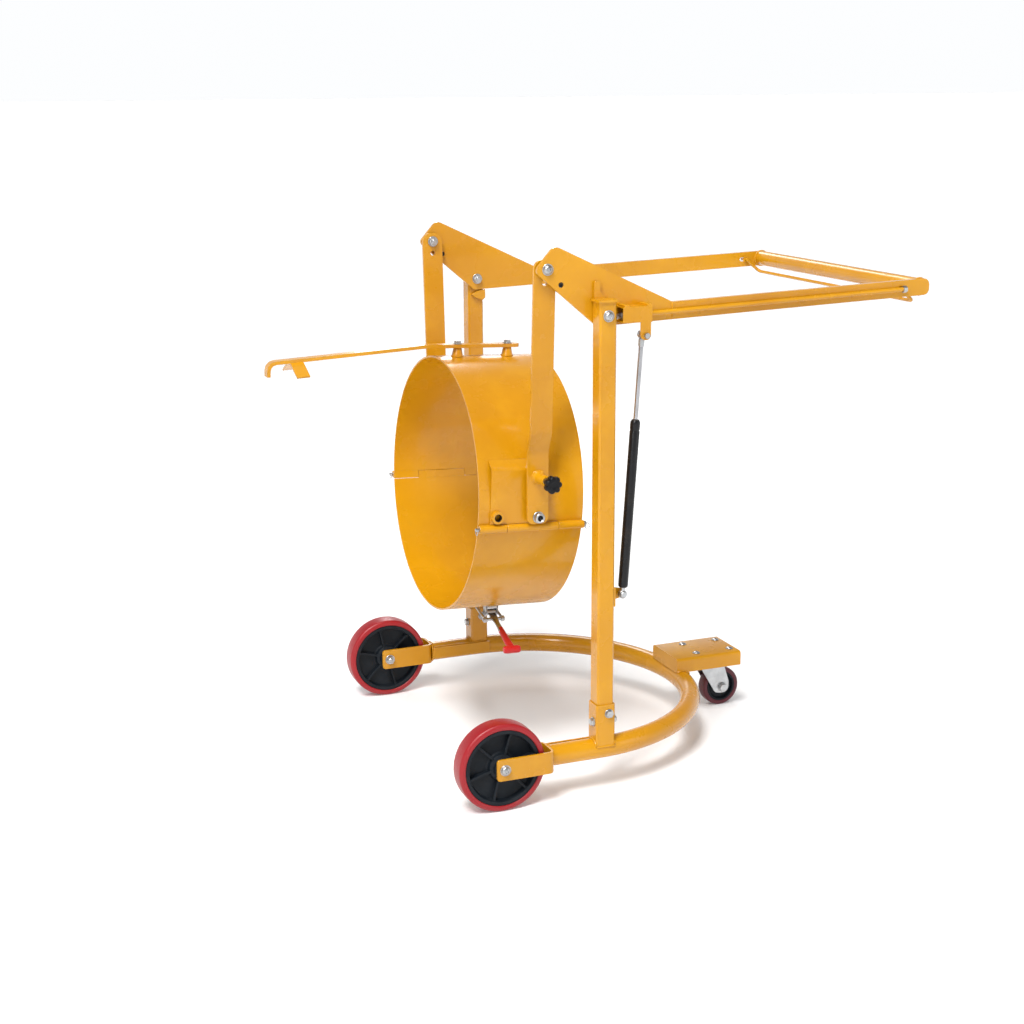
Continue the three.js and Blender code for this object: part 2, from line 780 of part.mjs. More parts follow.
// The bolt that hangs the arm from the lever plate, with the spacer between them.
function armBolt() {
  const outer = -LEVER_PLATE_Y - LEVER_PLATE;
  const body = bolt(24.5, LEVER_BOLT_RADIUS);
  const spacer = turned([
    [0, LEVER_PLATE + GAP],
    [14, LEVER_PLATE + GAP],
    [14, LEVER_PLATE + 3.5],
    [0, LEVER_PLATE + 3.5],
  ], 12);
  return place(join(body, spacer), Y_AXIS, [ARM_X, outer, ARM_BOLT_Z]);
}

function plungerHousing() {
  const start = -ARM_FOOT_Y - GAP;
  const tube = turned([
    [7.8, 0],
    [15, 0],
    [15, 6],
    [11, 8],
    [11, 47],
    [7.8, 47],
    [7.8, 0],
  ], 20);
  return place(tube, Y_AXIS.clone().negate(), [ARM_X, start, PLUNGER_Z]);
}

// The locking pin and its seven-lobed knob. The pin's tip stands just clear of the bushings.
const PIN_TIP = 6.4;

function lockKnob() {
  const knob = turned([
    [0, PIN_TIP],
    [7.4, PIN_TIP],
    [7.4, 70],
    [10, 72],
    [10, 84],
    [17, 86],
    [17, 102],
    [12, 107],
    [0, 107],
  ], 16);
  const lobes = [];
  for (let i = 0; i < 7; i += 1) {
    const turn = (i * 2 * Math.PI) / 7;
    const lobe = new THREE.CylinderGeometry(6.5, 6.5, 16, 8).translate(14.5, 94, 0);
    lobes.push(lobe.rotateY(turn));
  }
  const tip = -BRACKET_Y - 4;
  return place(join(knob, ...lobes), Y_AXIS.clone().negate(), [ARM_X, tip, PLUNGER_Z]);
}

// ---------------------------------------------------------------- tilting holder

// Pieces below are made about the holder pivot, in the holder's own level position.

// The pivot bolt through the arm into the index bracket.
function holderPivot() {
  const profile = turned([
    [0, 0],
    [8, 0],
    [8, 22.7],
    [13, 22.7],
    [13, 25.5],
    [11, 25.5],
    [11, 36],
    [9.5, 37.5],
    [6, 37.5],
    [6, 29],
    [0, 29],
  ], 16);
  return place(profile, Y_AXIS.clone().negate(), [0, -BAND_RADIUS - 2 * GAP, 0]);
}

// The whole band as a ring along X.
function bandRing(outer, inner, x0, x1) {
  const tube = (radius, from, to) => rod([from, 0, BAND_RISE], [to, 0, BAND_RISE], radius, 64);
  return cut(tube(outer, x0, x1), tube(inner, x0 - 1, x1 + 1));
}

function barrel(side, x0, x1, radius) {
  return rod([x0, side * HINGE_Y, HINGE_Z], [x1, side * HINGE_Y, HINGE_Z], radius, 14);
}

const BAND_INNER = BAND_RADIUS - STEEL;

// The fixed upper half of the band with the outer hinge knuckles of both doors.
function bandHalf() {
  const ring = bandRing(BAND_RADIUS, BAND_INNER, BAND_FRONT, BAND_BACK);
  const below = block([BAND_FRONT - 1, -400, -400], [BAND_BACK + 1, 400, HINGE_Z + GAP]);
  let half = cut(ring, below);
  for (const side of [-1, 1]) {
    const [x0, x1, x2, x3] = KNUCKLES;
    half = cut(half, barrel(side, x1 - GAP, x2 + GAP, BARREL_RADIUS + GAP));
    half = join(half, barrel(side, x0, x1 - GAP, BARREL_RADIUS), barrel(side, x2 + GAP, x3, BARREL_RADIUS));
    half = cut(half, barrel(side, x0 - 1, x3 + 1, PIN_RADIUS + GAP), bandVoid());
  }
  return half;
}

// The drum's space inside the band.
function bandVoid() {
  const [x0, x1] = [BAND_FRONT - 2, BAND_BACK + 2];
  return rod([x0, 0, BAND_RISE], [x1, 0, BAND_RISE], BAND_INNER, 64);
}

// One lower door, from its hinge to the seam at the bottom of the band.
function door(side) {
  const ring = bandRing(BAND_RADIUS, BAND_INNER, BAND_FRONT, BAND_BACK);
  const seam = 1;
  const quarter = common(ring, block(
    [BAND_FRONT - 1, side * seam, -400],
    [BAND_BACK + 1, side * 400, HINGE_Z - GAP],
  ));
  const [x0, x1, x2, x3] = KNUCKLES;
  const cleared = cut(
    quarter,
    barrel(side, x0 - 1, x1 + GAP, BARREL_RADIUS + GAP),
    barrel(side, x2 - GAP, x3 + 1, BARREL_RADIUS + GAP),
  );
  const hung = join(cleared, barrel(side, x1 + GAP, x2 - GAP, BARREL_RADIUS));
  return cut(hung, barrel(side, x0 - 1, x3 + 1, PIN_RADIUS + GAP), bandVoid());
}

const LATCH = { x: 7, y: -40, z: -296 };
const LATCH_SLOPE = THREE.MathUtils.degToRad(20);
const BAND_BOTTOM = BAND_RISE - BAND_RADIUS;

// The near door carries the two ears the latch lever turns in.
function nearDoor() {
  const { x, y, z } = LATCH;
  const ears = [-1, 1].map((s) => block([x + s * 12, y - 9, z - 8], [x + s * 16, y + 9, BAND_BOTTOM + 6]));
  const foot = block([x - 16, y - 9, BAND_BOTTOM - 4], [x + 16, y + 9, BAND_BOTTOM + 5]);
  const hole = rod([x - 30, y, z], [x + 30, y, z], 4 + GAP, 14);
  return cut(join(door(-1), ...ears, foot), hole, bandVoid());
}

// The far door carries the hook the bail pulls on.
function farDoor() {
  const { x, z } = LATCH;
  const keeper = plateYZ(rounded([
    [14, BAND_BOTTOM + 3],
    [14, z + 4, 3],
    [34, z + 4, 3],
    [34, BAND_BOTTOM + 5],
  ]), x - 14, x + 14);
  return cut(join(door(1), keeper), bandVoid());
}

// The latch lever: a plate between the ears, then a grip with a cross end.
function latchLever() {
  const { x, y, z } = LATCH;
  const hub = rod([-11.5, 0, 0], [11.5, 0, 0], 7.5, 16);
  const pivot = rod([-16.8, 0, 0], [16.8, 0, 0], 4, 14);
  const plate = block([-8, -62, -3], [8, 0, 3]);
  const grip = block([-9, -150, -5], [9, -60, 5]);
  const cross = block([-21, -158, -6], [21, -146, 6]);
  const trunnion = rod([-28, -24, -4], [28, -24, -4], 4, 14);
  const lever = join(hub, pivot, plate, grip, cross, trunnion);
  return lever.rotateX(LATCH_SLOPE).translate(x, y, z);
}

// The U-shaped bail that reaches from the lever's trunnion to the keeper on the far door.
function latchBail() {
  const { x, y, z } = LATCH;
  const trunnion = new THREE.Vector3(0, -24, -4).applyAxisAngle(X_AXIS, LATCH_SLOPE);
  const [eyeY, eyeZ] = [y + trunnion.y, z + trunnion.z];
  const [tipY, tipZ] = [8, z + 5];
  const pieces = [-1, 1].flatMap((s) => [
    rod([x + s * 22, eyeY, eyeZ], [x + s * 22, tipY, tipZ], 3.5, 10),
    rod([x + s * 18.5, eyeY, eyeZ], [x + s * 26, eyeY, eyeZ], 7, 14),
  ]);
  const cross = rod([x - 24, tipY, tipZ], [x + 24, tipY, tipZ], 3.5, 10);
  return cut(join(cross, ...pieces), rod([x - 40, eyeY, eyeZ], [x + 40, eyeY, eyeZ], 4 + GAP, 14));
}

// The folded plate between the band and the arm, with the two index bushings.
function indexBracket() {
  const t = STEEL / 2;
  const path = rounded([
    [-BRACKET_Y + t, -16.2],
    [-BRACKET_Y + t, 105, 5],
    [-268, 127],
  ], false);
  const sheet = plateYZ(strip(path, STEEL), -105, 26);
  const bushings = indexStations().map(([x, z]) => crossRod(x, z, 14, -BRACKET_Y - 10, -BRACKET_Y + 2, 20));
  const holes = indexStations().map(([x, z]) => crossRod(x, z, 8.5, -BRACKET_Y - 11, -BRACKET_Y + 8, 20));
  const pivot = crossRod(0, 0, 8 + GAP, -BRACKET_Y - 20, -BRACKET_Y + 20);
  const band = rod([-200, 0, BAND_RISE], [200, 0, BAND_RISE], BAND_RADIUS + 3 * GAP, 64);
  return cut(join(sheet, ...bushings), ...holes, pivot, band);
}

// The two places on the bracket where the plunger drops in.
function indexStations() {
  const upright = HOLDER_TILT;
  return [
    [-INDEX_RADIUS * Math.sin(upright), INDEX_RADIUS * Math.cos(upright)],
    [-INDEX_RADIUS, 0],
  ];
}

// The removable pin of one door hinge, with a head at one end and a cotter ring at the other.
function hingePin() {
  const length = BAND_BACK - BAND_FRONT;
  const pin = turned([
    [0, -9],
    [3, -9],
    [PIN_RADIUS, -8],
    [PIN_RADIUS, length + GAP],
    [7, length + GAP],
    [7, length + 6],
    [0, length + 6],
  ], 16);
  return place(pin, X_AXIS, [BAND_FRONT, -HINGE_Y, HINGE_Z]);
}

const HOOK_BAR = { width: 25, plate: 8, top: 340, bendX: -163, noseX: -527 };

// The bar over the band whose nose hooks behind the drum's rim.
function rimHookBar() {
  const mid = HOOK_BAR.top - HOOK_BAR.plate / 2;
  const drop = (HOOK_BAR.bendX - HOOK_BAR.noseX) * Math.tan(THREE.MathUtils.degToRad(5));
  const path = rounded([
    [70, mid],
    [HOOK_BAR.bendX, mid, 60],
    [HOOK_BAR.noseX, mid - drop, 18],
    [HOOK_BAR.noseX, mid - drop - 30],
  ], false);
  const half = HOOK_BAR.width / 2;
  const bar = plateXZ(strip(path, HOOK_BAR.plate), -half, half);
  const plan = rounded([
    [-600, -half],
    [70, -half, 12],
    [70, half, 12],
    [-600, half],
  ]);
  const holes = HOOK_BOLTS.map((x) => rod([x, 0, mid - 20], [x, 0, mid + 20], BOLT_RADIUS + GAP, 16));
  return join(cut(common(bar, plateXY(plan, 200, 400)), ...holes), rimSaddle());
}

const HOOK_BOLTS = [-81, 42];

// A bolt through the hook bar with the tapered stand-off that carries it on the band.
function hookBolt(x) {
  const foot = BAND_RISE + BAND_RADIUS + GAP;
  const under = HOOK_BAR.top - HOOK_BAR.plate - GAP;
  const body = turned([
    [0, foot],
    [12.5, foot],
    [9, under],
    [BOLT_RADIUS, under],
    [BOLT_RADIUS, HOOK_BAR.top + GAP],
    [9.5, HOOK_BAR.top + GAP],
    [9.5, HOOK_BAR.top + 6.5],
    [0, HOOK_BAR.top + 6.5],
  ], 20);
  return place(body, Z_AXIS, [x, 0, 0]);
}

// The roof-bent plate welded under the hook bar, which rests on the drum.
function rimSaddle() {
  const slope = THREE.MathUtils.degToRad(5);
  const path = rounded([
    [-62, -26],
    [-HOOK_BAR.width / 2, -2, 8],
    [HOOK_BAR.width / 2, -2, 8],
    [62, -26],
  ], false);
  const saddle = plateYZ(strip(path, STEEL), -15, 15).rotateY(-slope);
  const x = -464;
  const under = HOOK_BAR.top - HOOK_BAR.plate - (HOOK_BAR.bendX - x) * Math.tan(slope);
  return saddle.translate(x, 0, under + 1);
}

// ---------------------------------------------------------------- assembly

// Everything there is one of on each side; the far side is the near side mirrored.
function addSide(root, name) {
  const side = new THREE.Group();
  side.scale.y = name === "near" ? 1 : -1;
  root.add(side);
  const put = (part, geometry, paint) => add(side, `${name}_${part}`, geometry, paint);
  put("wheel_fork", wheelFork(), framePaint());
  put("axle", wheelAxle(), zincSteel());
  put("tyre", atWheel(tyre(WHEEL_RADIUS, WHEEL_WIDTH, WHEEL_CORE_RADIUS, 9, WHEEL_SIDES)), redTyre());
  put("wheel_core", atWheel(wheelCore()), darkCore());
  put("leg_bar", legBar(), framePaint());
  put("post_socket", postSocket(), framePaint());
  put("post", name === "near" ? nearPost() : post(), framePaint());
  put("lever_stop", leverStop(), framePaint());
  put("socket_side_bolt", socketSideBolt(), zincSteel());
  put("socket_cross_bolt", socketCrossBolt(), zincSteel());
  put("lever_bolt", leverBolt(), zincSteel());
  put("lever_plate", leverPlate(), framePaint());
  put("handle_bar", handleBar(), framePaint());
  put("arm_bolt", armBolt(), zincSteel());
  put("arm", name === "near" ? nearArm() : arm(), framePaint());
  return side;
}

function addBase(root) {
  add(root, "base_tube", baseTube(), framePaint());
  add(root, "caster_bracket", casterBracket(), framePaint());
  add(root, "caster_plate", casterPlate(), zincSteel());
  add(root, "caster_yoke", casterYoke(), zincSteel());
  add(root, "caster_axle", casterAxle(), zincSteel());
  add(root, "caster_core", casterCore(), darkCore());
  add(root, "caster_tyre", casterTyre(), maroonTyre());
}

function addLever(root) {
  add(root, "grip_tube", gripTube(), framePaint());
  add(root, "strut_upper_bracket", strutUpperBracket(), framePaint());
  add(root, "strut_lower_bracket", strutLowerBracket(), framePaint());
  add(root, "release_rod", releaseRod(), framePaint());
  add(root, "release_bail", releaseBail(), framePaint());
  add(root, "strut_cylinder", strutCylinder(), blackPaint());
  add(root, "strut_rod", strutRod(), chromeSteel());
  add(root, "plunger_housing", plungerHousing(), framePaint());
  add(root, "lock_knob", lockKnob(), blackPlastic());
}

// The holder hangs slightly nose-up on its two pivots.
function addHolder(root) {
  const holder = new THREE.Group();
  holder.position.set(ARM_X, 0, HOLDER_Z);
  holder.rotation.y = HOLDER_TILT;
  root.add(holder);
  for (const name of ["near", "far"]) {
    const side = new THREE.Group();
    side.scale.y = name === "near" ? 1 : -1;
    holder.add(side);
    add(side, `${name}_holder_pivot`, holderPivot(), zincSteel());
    add(side, `${name}_index_bracket`, indexBracket(), framePaint());
    add(side, `${name}_hinge_pin`, hingePin(), zincSteel());
  }
  add(holder, "band_half", bandHalf(), framePaint());
  add(holder, "near_door", nearDoor(), framePaint());
  add(holder, "far_door", farDoor(), framePaint());
  add(holder, "latch_lever", latchLever(), redGrip());
  add(holder, "latch_bail", latchBail(), zincSteel());
  add(holder, "rim_hook_bar", rimHookBar(), framePaint());
  add(holder, "hook_bolt_front", hookBolt(HOOK_BOLTS[0]), zincSteel());
  add(holder, "hook_bolt_back", hookBolt(HOOK_BOLTS[1]), zincSteel());
}

const dolly = new THREE.Group();
addBase(dolly);
addSide(dolly, "near");
addSide(dolly, "far");
addLever(dolly);
addHolder(dolly);

// Centres the dolly's footprint on the origin, along X and Y.
const bounds = new THREE.Box3().setFromObject(dolly);
const centre = bounds.getCenter(new THREE.Vector3());
dolly.position.set(-centre.x, -centre.y, 0);

export default dolly;
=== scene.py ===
"""Drum dolly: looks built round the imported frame. Lengths in this file are millimetres unless noted."""
import json
import math

import bmesh
import bpy
from mathutils import Matrix, Vector


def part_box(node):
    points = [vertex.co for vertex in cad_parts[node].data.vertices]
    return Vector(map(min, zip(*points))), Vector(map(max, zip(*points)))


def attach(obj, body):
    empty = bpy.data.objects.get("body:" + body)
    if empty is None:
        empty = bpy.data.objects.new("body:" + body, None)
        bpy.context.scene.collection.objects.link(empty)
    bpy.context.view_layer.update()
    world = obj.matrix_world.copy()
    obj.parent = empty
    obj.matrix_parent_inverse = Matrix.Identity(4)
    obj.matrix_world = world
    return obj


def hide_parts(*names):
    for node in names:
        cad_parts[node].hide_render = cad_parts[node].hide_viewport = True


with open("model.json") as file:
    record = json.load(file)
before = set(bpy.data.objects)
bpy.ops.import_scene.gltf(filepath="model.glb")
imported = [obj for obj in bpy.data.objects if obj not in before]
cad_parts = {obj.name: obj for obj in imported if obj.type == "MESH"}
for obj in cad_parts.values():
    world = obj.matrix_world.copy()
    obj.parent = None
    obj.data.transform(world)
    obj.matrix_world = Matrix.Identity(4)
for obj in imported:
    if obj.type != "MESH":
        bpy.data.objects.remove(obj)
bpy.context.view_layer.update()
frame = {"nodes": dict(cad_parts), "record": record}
BODY_OF = {n: b for b, ns in frame["record"]["behaviour"]["bodies"].items() for n in ns}

X, Y, Z = Vector((1, 0, 0)), Vector((0, 1, 0)), Vector((0, 0, 1))
SIDES = (("near", -1), ("far", 1))
FULL_TURN = 2 * math.pi

WHEEL_X, WHEEL_Y, WHEEL_R = -251, 405, 101.5
TRACK_Y, TUBE_Z, TUBE_R, RING_X, TUBE_END = 395, 101, 24, -15, -131.2
CASTER_X, CASTER_AXLE_X, CASTER_R = 475, 513, 50
GRIP_X, GRIP_HALF, BAIL_X, ROD_Y, LOCK_BOLT_Y = 813, 361.2, 764, -382, -395
STRUT_FOOT, STRUT_HEAD = Vector((48, -395, 455)), Vector((88, -395, 1031))
ARM_X, HOLDER_Z, TILT = -122, 630, math.radians(2.5)
KNOB_Y, KNOB_Z = -304, 720

# The holder's own frame: X along the band's axis, origin between the pivots.
BAND_R, BAND_RISE, BAND_THICK = 296, 15, 4
BAND_MID = BAND_R - BAND_THICK / 2
BAND_BOTTOM = BAND_RISE - BAND_R
BAND_FRONT, BAND_BACK = -131, 118
KNUCKLES = (BAND_FRONT, -67, 56, BAND_BACK)
HINGE_Y, HINGE_Z, BARREL_R, PIN_R = 301.2, -26, 9, 4
PIVOT_Y = 296.6
LATCH, LATCH_SLOPE = (7, -40, -296), math.radians(20)

# The lengths here have X = 0 at the posts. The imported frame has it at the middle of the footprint.
_low, _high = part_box("near_tyre")
SHIFT = (_low.x + _high.x) / 2 - WHEEL_X / 1000


# ---------------------------------------------------------------- placing

WORLD = Matrix.Translation((SHIFT, 0, 0)) @ Matrix.Scale(0.001, 4)
HOLDER = WORLD @ Matrix.Translation((ARM_X, 0, HOLDER_Z)) @ Matrix.Rotation(TILT, 4, "Y")

# An outline drawn in XY, laid in the XZ plane or in the YZ plane.
IN_XZ = Matrix(((1, 0, 0, 0), (0, 0, 1, 0), (0, 1, 0, 0), (0, 0, 0, 1)))
IN_YZ = Matrix(((0, 0, 1, 0), (1, 0, 0, 0), (0, 1, 0, 0), (0, 0, 0, 1)))


def aim(point, direction):
    """Stands a body made along +Z at a point, along a direction."""
    turn = Z.rotation_difference(Vector(direction).normalized()).to_matrix().to_4x4()
    return Matrix.Translation(point) @ turn


# ---------------------------------------------------------------- mesh pieces

class Piece:
    """Collects closed shells, then makes one object that rides on a body."""

    def __init__(self, name, body, finish, space=WORLD):
        self.name, self.body, self.finish, self.space = name, body, finish, space
        self.verts, self.faces = [], []

    def add(self, shape, matrix=Matrix()):
        verts, faces = shape
        base = len(self.verts)
        self.verts += [matrix @ Vector(v) for v in verts]
        self.faces += [[base + i for i in face] for face in faces]
        return self

    def make(self, replaces=(), bevel=0.0, angle=35, segments=2):
        mesh = bpy.data.meshes.new(self.name)
        mesh.from_pydata([self.space @ v for v in self.verts], [], self.faces)
        bm = bmesh.new()
        bm.from_mesh(mesh)
        bmesh.ops.recalc_face_normals(bm, faces=bm.faces)
        bm.to_mesh(mesh)
        bm.free()
        obj = bpy.data.objects.new(self.name, mesh)
        return settle(obj, self.body, self.finish, replaces, bevel, angle, segments)


def settle(obj, body, finish, replaces=(), bevel=0.0, angle=35, segments=2):
    """Links an object, rounds its edges, gives it its finish and puts it on its body."""
    if obj.name not in bpy.context.scene.collection.objects:
        bpy.context.scene.collection.objects.link(obj)
    mesh = obj.data
    mesh.materials.clear()
    mesh.materials.append(finish)
    mesh.polygons.foreach_set("use_smooth", [True] * len(mesh.polygons))
    mesh.set_sharp_from_angle(angle=math.radians(angle))
    if bevel:
        rounding = obj.modifiers.new("round", "BEVEL")
        rounding.width = bevel / 1000
        rounding.segments = segments
        rounding.limit_method = "ANGLE"
        rounding.angle_limit = math.radians(angle)
        rounding.use_clamp_overlap = True
        rounding.harden_normals = True
    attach(obj, body)
    if replaces:
        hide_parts(*replaces)
    return obj


def refine(node, finish, bevel=0.8, angle=35):
    """A rounded, smooth copy of a flat-sided CAD node."""
    mesh = frame["nodes"][node].data.copy()
    bm = bmesh.new()
    bm.from_mesh(mesh)
    bmesh.ops.remove_doubles(bm, verts=bm.verts, dist=2e-6)
    bmesh.ops.dissolve_limit(bm, angle_limit=math.radians(1), verts=bm.verts, edges=bm.edges)
    bm.to_mesh(mesh)
    bm.free()
    obj = bpy.data.objects.new(node + "_piece", mesh)
    for name in ("custom_normal", "sharp_face", "sharp_edge"):
        if name in mesh.attributes:
            mesh.attributes.remove(mesh.attributes[name])
    return settle(obj, BODY_OF[node], finish, (node,), bevel, angle)


def lathe(profile, sides=64):
    """A body turned about +Z from (radius, height) pairs that start and end on the axis or meet."""
    loop = profile[0] == profile[-1]
    rows = profile[:-1] if loop else profile
    verts, index = [], []
    for radius, height in rows:
        if radius == 0:
            index.append([len(verts)] * sides)
            verts.append((0, 0, height))
            continue
        index.append([len(verts) + i for i in range(sides)])
        for i in range(sides):
            a = FULL_TURN * i / sides
            verts.append((radius * math.cos(a), radius * math.sin(a), height))
    pairs = zip(index, index[1:] + index[:1]) if loop else zip(index, index[1:])
    return verts, quads(pairs, sides)


def quads(pairs, sides):
    """Faces between pairs of rings; where a ring is one point, they are triangles."""
    faces = []
    for low, high in pairs:
        for i in range(sides):
            j = (i + 1) % sides
            face = list(dict.fromkeys((low[i], low[j], high[j], high[i])))
            if len(face) > 2:
                faces.append(face)
    return faces


def cylinder(radius, low, high, sides=28):
    return lathe([(0, low), (radius, low), (radius, high), (0, high)], sides)


def sleeve(bore, radius, low, high, sides=40):
    return lathe([(bore, low), (radius, low), (radius, high), (bore, high), (bore, low)], sides)


def sweep(path, radius, sides=20, squash=1.0):
    """A round bar along a path, closed at both ends; radius may be a list."""
    points = [Vector(p) for p in path]
    radii = radius if isinstance(radius, (list, tuple)) else [radius] * len(points)
    tangents = []
    for i, _ in enumerate(points):
        ahead, back = points[min(i + 1, len(points) - 1)], points[max(i - 1, 0)]
        tangents.append((ahead - back).normalized())
    side = tangents[0].orthogonal().normalized()
    verts, faces = [], []
    for i, (point, tangent) in enumerate(zip(points, tangents)):
        if i:
            side = tangents[i - 1].rotation_difference(tangent) @ side
        side = (side - tangent * side.dot(tangent)).normalized()
        up = tangent.cross(side)
        for k in range(sides):
            a = FULL_TURN * k / sides
            verts.append(point + radii[i] * (side * math.cos(a) + up * math.sin(a) * squash))
    for i in range(len(points) - 1):
        for k in range(sides):
            j = (k + 1) % sides
            faces.append([i * sides + k, i * sides + j, (i + 1) * sides + j, (i + 1) * sides + k])
    faces.append(list(range(sides))[::-1])
    faces.append([(len(points) - 1) * sides + k for k in range(sides)])
    return verts, faces


def prism(outline, low, high):
    """An outline in XY raised along Z."""
    n = len(outline)
    verts = [(x, y, low) for x, y in outline] + [(x, y, high) for x, y in outline]
    faces = [list(range(n))[::-1], [n + i for i in range(n)]]
    faces += [[i, (i + 1) % n, n + (i + 1) % n, n + i] for i in range(n)]
    return verts, faces


def block(low, high):
    (x0, y0, z0), (x1, y1, z1) = low, high
    return prism([(x0, y0), (x1, y0), (x1, y1), (x0, y1)], z0, z1)


def bend(points, radius, steps=8):
    """A path with its inner corners rounded."""
    points = [Vector(p) for p in points]
    out = [points[0]]
    for before, corner, after in zip(points, points[1:], points[2:]):
        a, b = (before - corner), (after - corner)
        half = a.angle(b) / 2
        reach = min(radius / math.tan(half), a.length * 0.49, b.length * 0.49)
        start, end = corner + a.normalized() * reach, corner + b.normalized() * reach
        for i in range(steps + 1):
            t = i / steps
            out.append(start * (1 - t) ** 2 + corner * 2 * t * (1 - t) + end * t * t)
    out.append(points[-1])
    return out


def line(start, end, count):
    """Evenly spaced points from start to end."""
    start, end = Vector(start), Vector(end)
    return [start.lerp(end, i / count) for i in range(count + 1)]


def arc(centre, u, v, radius, a0, a1, count):
    """Points on a circle in the plane of u and v, from angle a0 to a1."""
    centre = Vector(centre)
    turns = [a0 + (a1 - a0) * i / count for i in range(count + 1)]
    return [centre + (u * math.cos(a) + v * math.sin(a)) * radius for a in turns]


def bead(path, radius=2.6, ripple=5.0):
    """A rippled weld bead along a path."""
    points = [Vector(p) for p in path]
    length, radii = 0.0, []
    for i, point in enumerate(points):
        length += (point - points[i - 1]).length if i else 0
        radii.append(radius * (1 + 0.13 * math.sin(FULL_TURN * length / ripple)))
    radii[0] = radii[-1] = radius * 0.5
    return sweep(points, radii, 10)


# ---------------------------------------------------------------- finishes

class Nodes:
    """Builds a node tree with short calls."""

    def __init__(self, name, slot):
        self.material = bpy.data.materials.new(name)
        self.material.use_nodes = True
        self.material["slot"] = slot
        self.tree = self.material.node_tree
        self.shader = self.tree.nodes["Principled BSDF"]
        coordinates = self.tree.nodes.new("ShaderNodeTexCoord")
        self.place = coordinates.outputs["Object"]

    def node(self, kind, **sockets):
        made = self.tree.nodes.new("ShaderNode" + kind)
        for key, value in sockets.items():
            self.feed(made.inputs[key.replace("_", " ")], value)
        return made

    def feed(self, socket, value):
        if isinstance(value, bpy.types.NodeSocket):
            self.tree.links.new(value, socket)
        else:
            socket.default_value = value

    def noise(self, scale, detail=4, roughness=0.55, stretch=None):
        place = self.place
        if stretch:
            mapping = self.node("Mapping", Vector=place, Scale=stretch)
            place = mapping.outputs["Vector"]
        made = self.node("TexNoise", Vector=place, Scale=scale, Detail=detail, Roughness=roughness)
        return made.outputs["Fac"]

    def spread(self, value, low, high, out_low=0.0, out_high=1.0):
        made = self.node("MapRange", Value=value)
        names = ("From Min", "From Max", "To Min", "To Max")
        for name, number in zip(names, (low, high, out_low, out_high)):
            made.inputs[name].default_value = number
        return made.outputs["Result"]

    def math(self, operation, a, b=0.5):
        made = self.tree.nodes.new("ShaderNodeMath")
        made.operation = operation
        made.use_clamp = True
        self.feed(made.inputs[0], a)
        self.feed(made.inputs[1], b)
        return made.outputs[0]

    def mix(self, factor, a, b):
        made = self.tree.nodes.new("ShaderNodeMix")
        made.data_type = "RGBA"
        self.feed(made.inputs["Factor"], factor)
        self.feed(made.inputs[6], a)
        self.feed(made.inputs[7], b)
        return made.outputs[2]

    def edges(self, radius=0.0014, low=0.02, high=0.16):
        """1 on outer edges, 0 on flats."""
        bevel = self.tree.nodes.new("ShaderNodeBevel")
        bevel.samples = 6
        bevel.inputs["Radius"].default_value = radius
        geometry = self.tree.nodes.new("ShaderNodeNewGeometry")
        dot = self.tree.nodes.new("ShaderNodeVectorMath")
        dot.operation = "DOT_PRODUCT"
        self.tree.links.new(bevel.outputs[0], dot.inputs[0])
        self.tree.links.new(geometry.outputs["Normal"], dot.inputs[1])
        away = self.math("SUBTRACT", 1.0, dot.outputs["Value"])
        return self.spread(away, low, high)

    def bump(self, height, strength, distance):
        made = self.node("Bump", Height=height)
        made.inputs["Strength"].default_value = strength
        made.inputs["Distance"].default_value = distance
        self.tree.links.new(made.outputs["Normal"], self.shader.inputs["Normal"])

    def set(self, **sockets):
        for key, value in sockets.items():
            self.feed(self.shader.inputs[key.replace("_", " ")], value)
        return self.material


def enamel(name, slot, main, deep, pale):
    """Thick gloss enamel: orange peel, uneven tone, rubbed edges, fine scuffs and a little grime."""
    n = Nodes(name, slot)
    tone = n.mix(n.spread(n.noise(2.2, 3), 0.35, 0.68), (*main, 1), (*deep, 1))
    tone = n.mix(n.math("MULTIPLY", n.spread(n.noise(14, 5), 0.5, 0.8), 0.35), tone, (*pale, 1))
    scuffs = n.spread(n.noise(46, 6, 0.7, (1, 1, 9)), 0.66, 0.74)
    tone = n.mix(n.math("MULTIPLY", scuffs, 0.3), tone, (*[c * 0.55 for c in deep], 1))
    grime = n.spread(n.noise(7, 7, 0.72), 0.58, 0.8)
    tone = n.mix(n.math("MULTIPLY", grime, 0.22), tone, (0.13, 0.075, 0.03, 1))
    rub = n.math("MULTIPLY", n.edges(), n.spread(n.noise(95, 4, 0.6), 0.47, 0.6))
    worn = n.mix(n.math("MULTIPLY", rub, 0.75), tone, (0.2, 0.13, 0.07, 1))
    rough = n.spread(n.noise(9, 5), 0.3, 0.75, 0.2, 0.34)
    rough = n.math("ADD", rough, n.math("MULTIPLY", n.math("ADD", scuffs, rub), 0.22))
    peel, waves = (n.math("MULTIPLY", n.noise(scale, 2), 0.5) for scale in (330, 60))
    n.bump(n.math("ADD", peel, waves), 0.12, 0.0006)
    n.set(Base_Color=worn, Roughness=rough, Specular_IOR_Level=0.36)
    return n.set(Coat_Weight=0.3, Coat_Roughness=0.06)


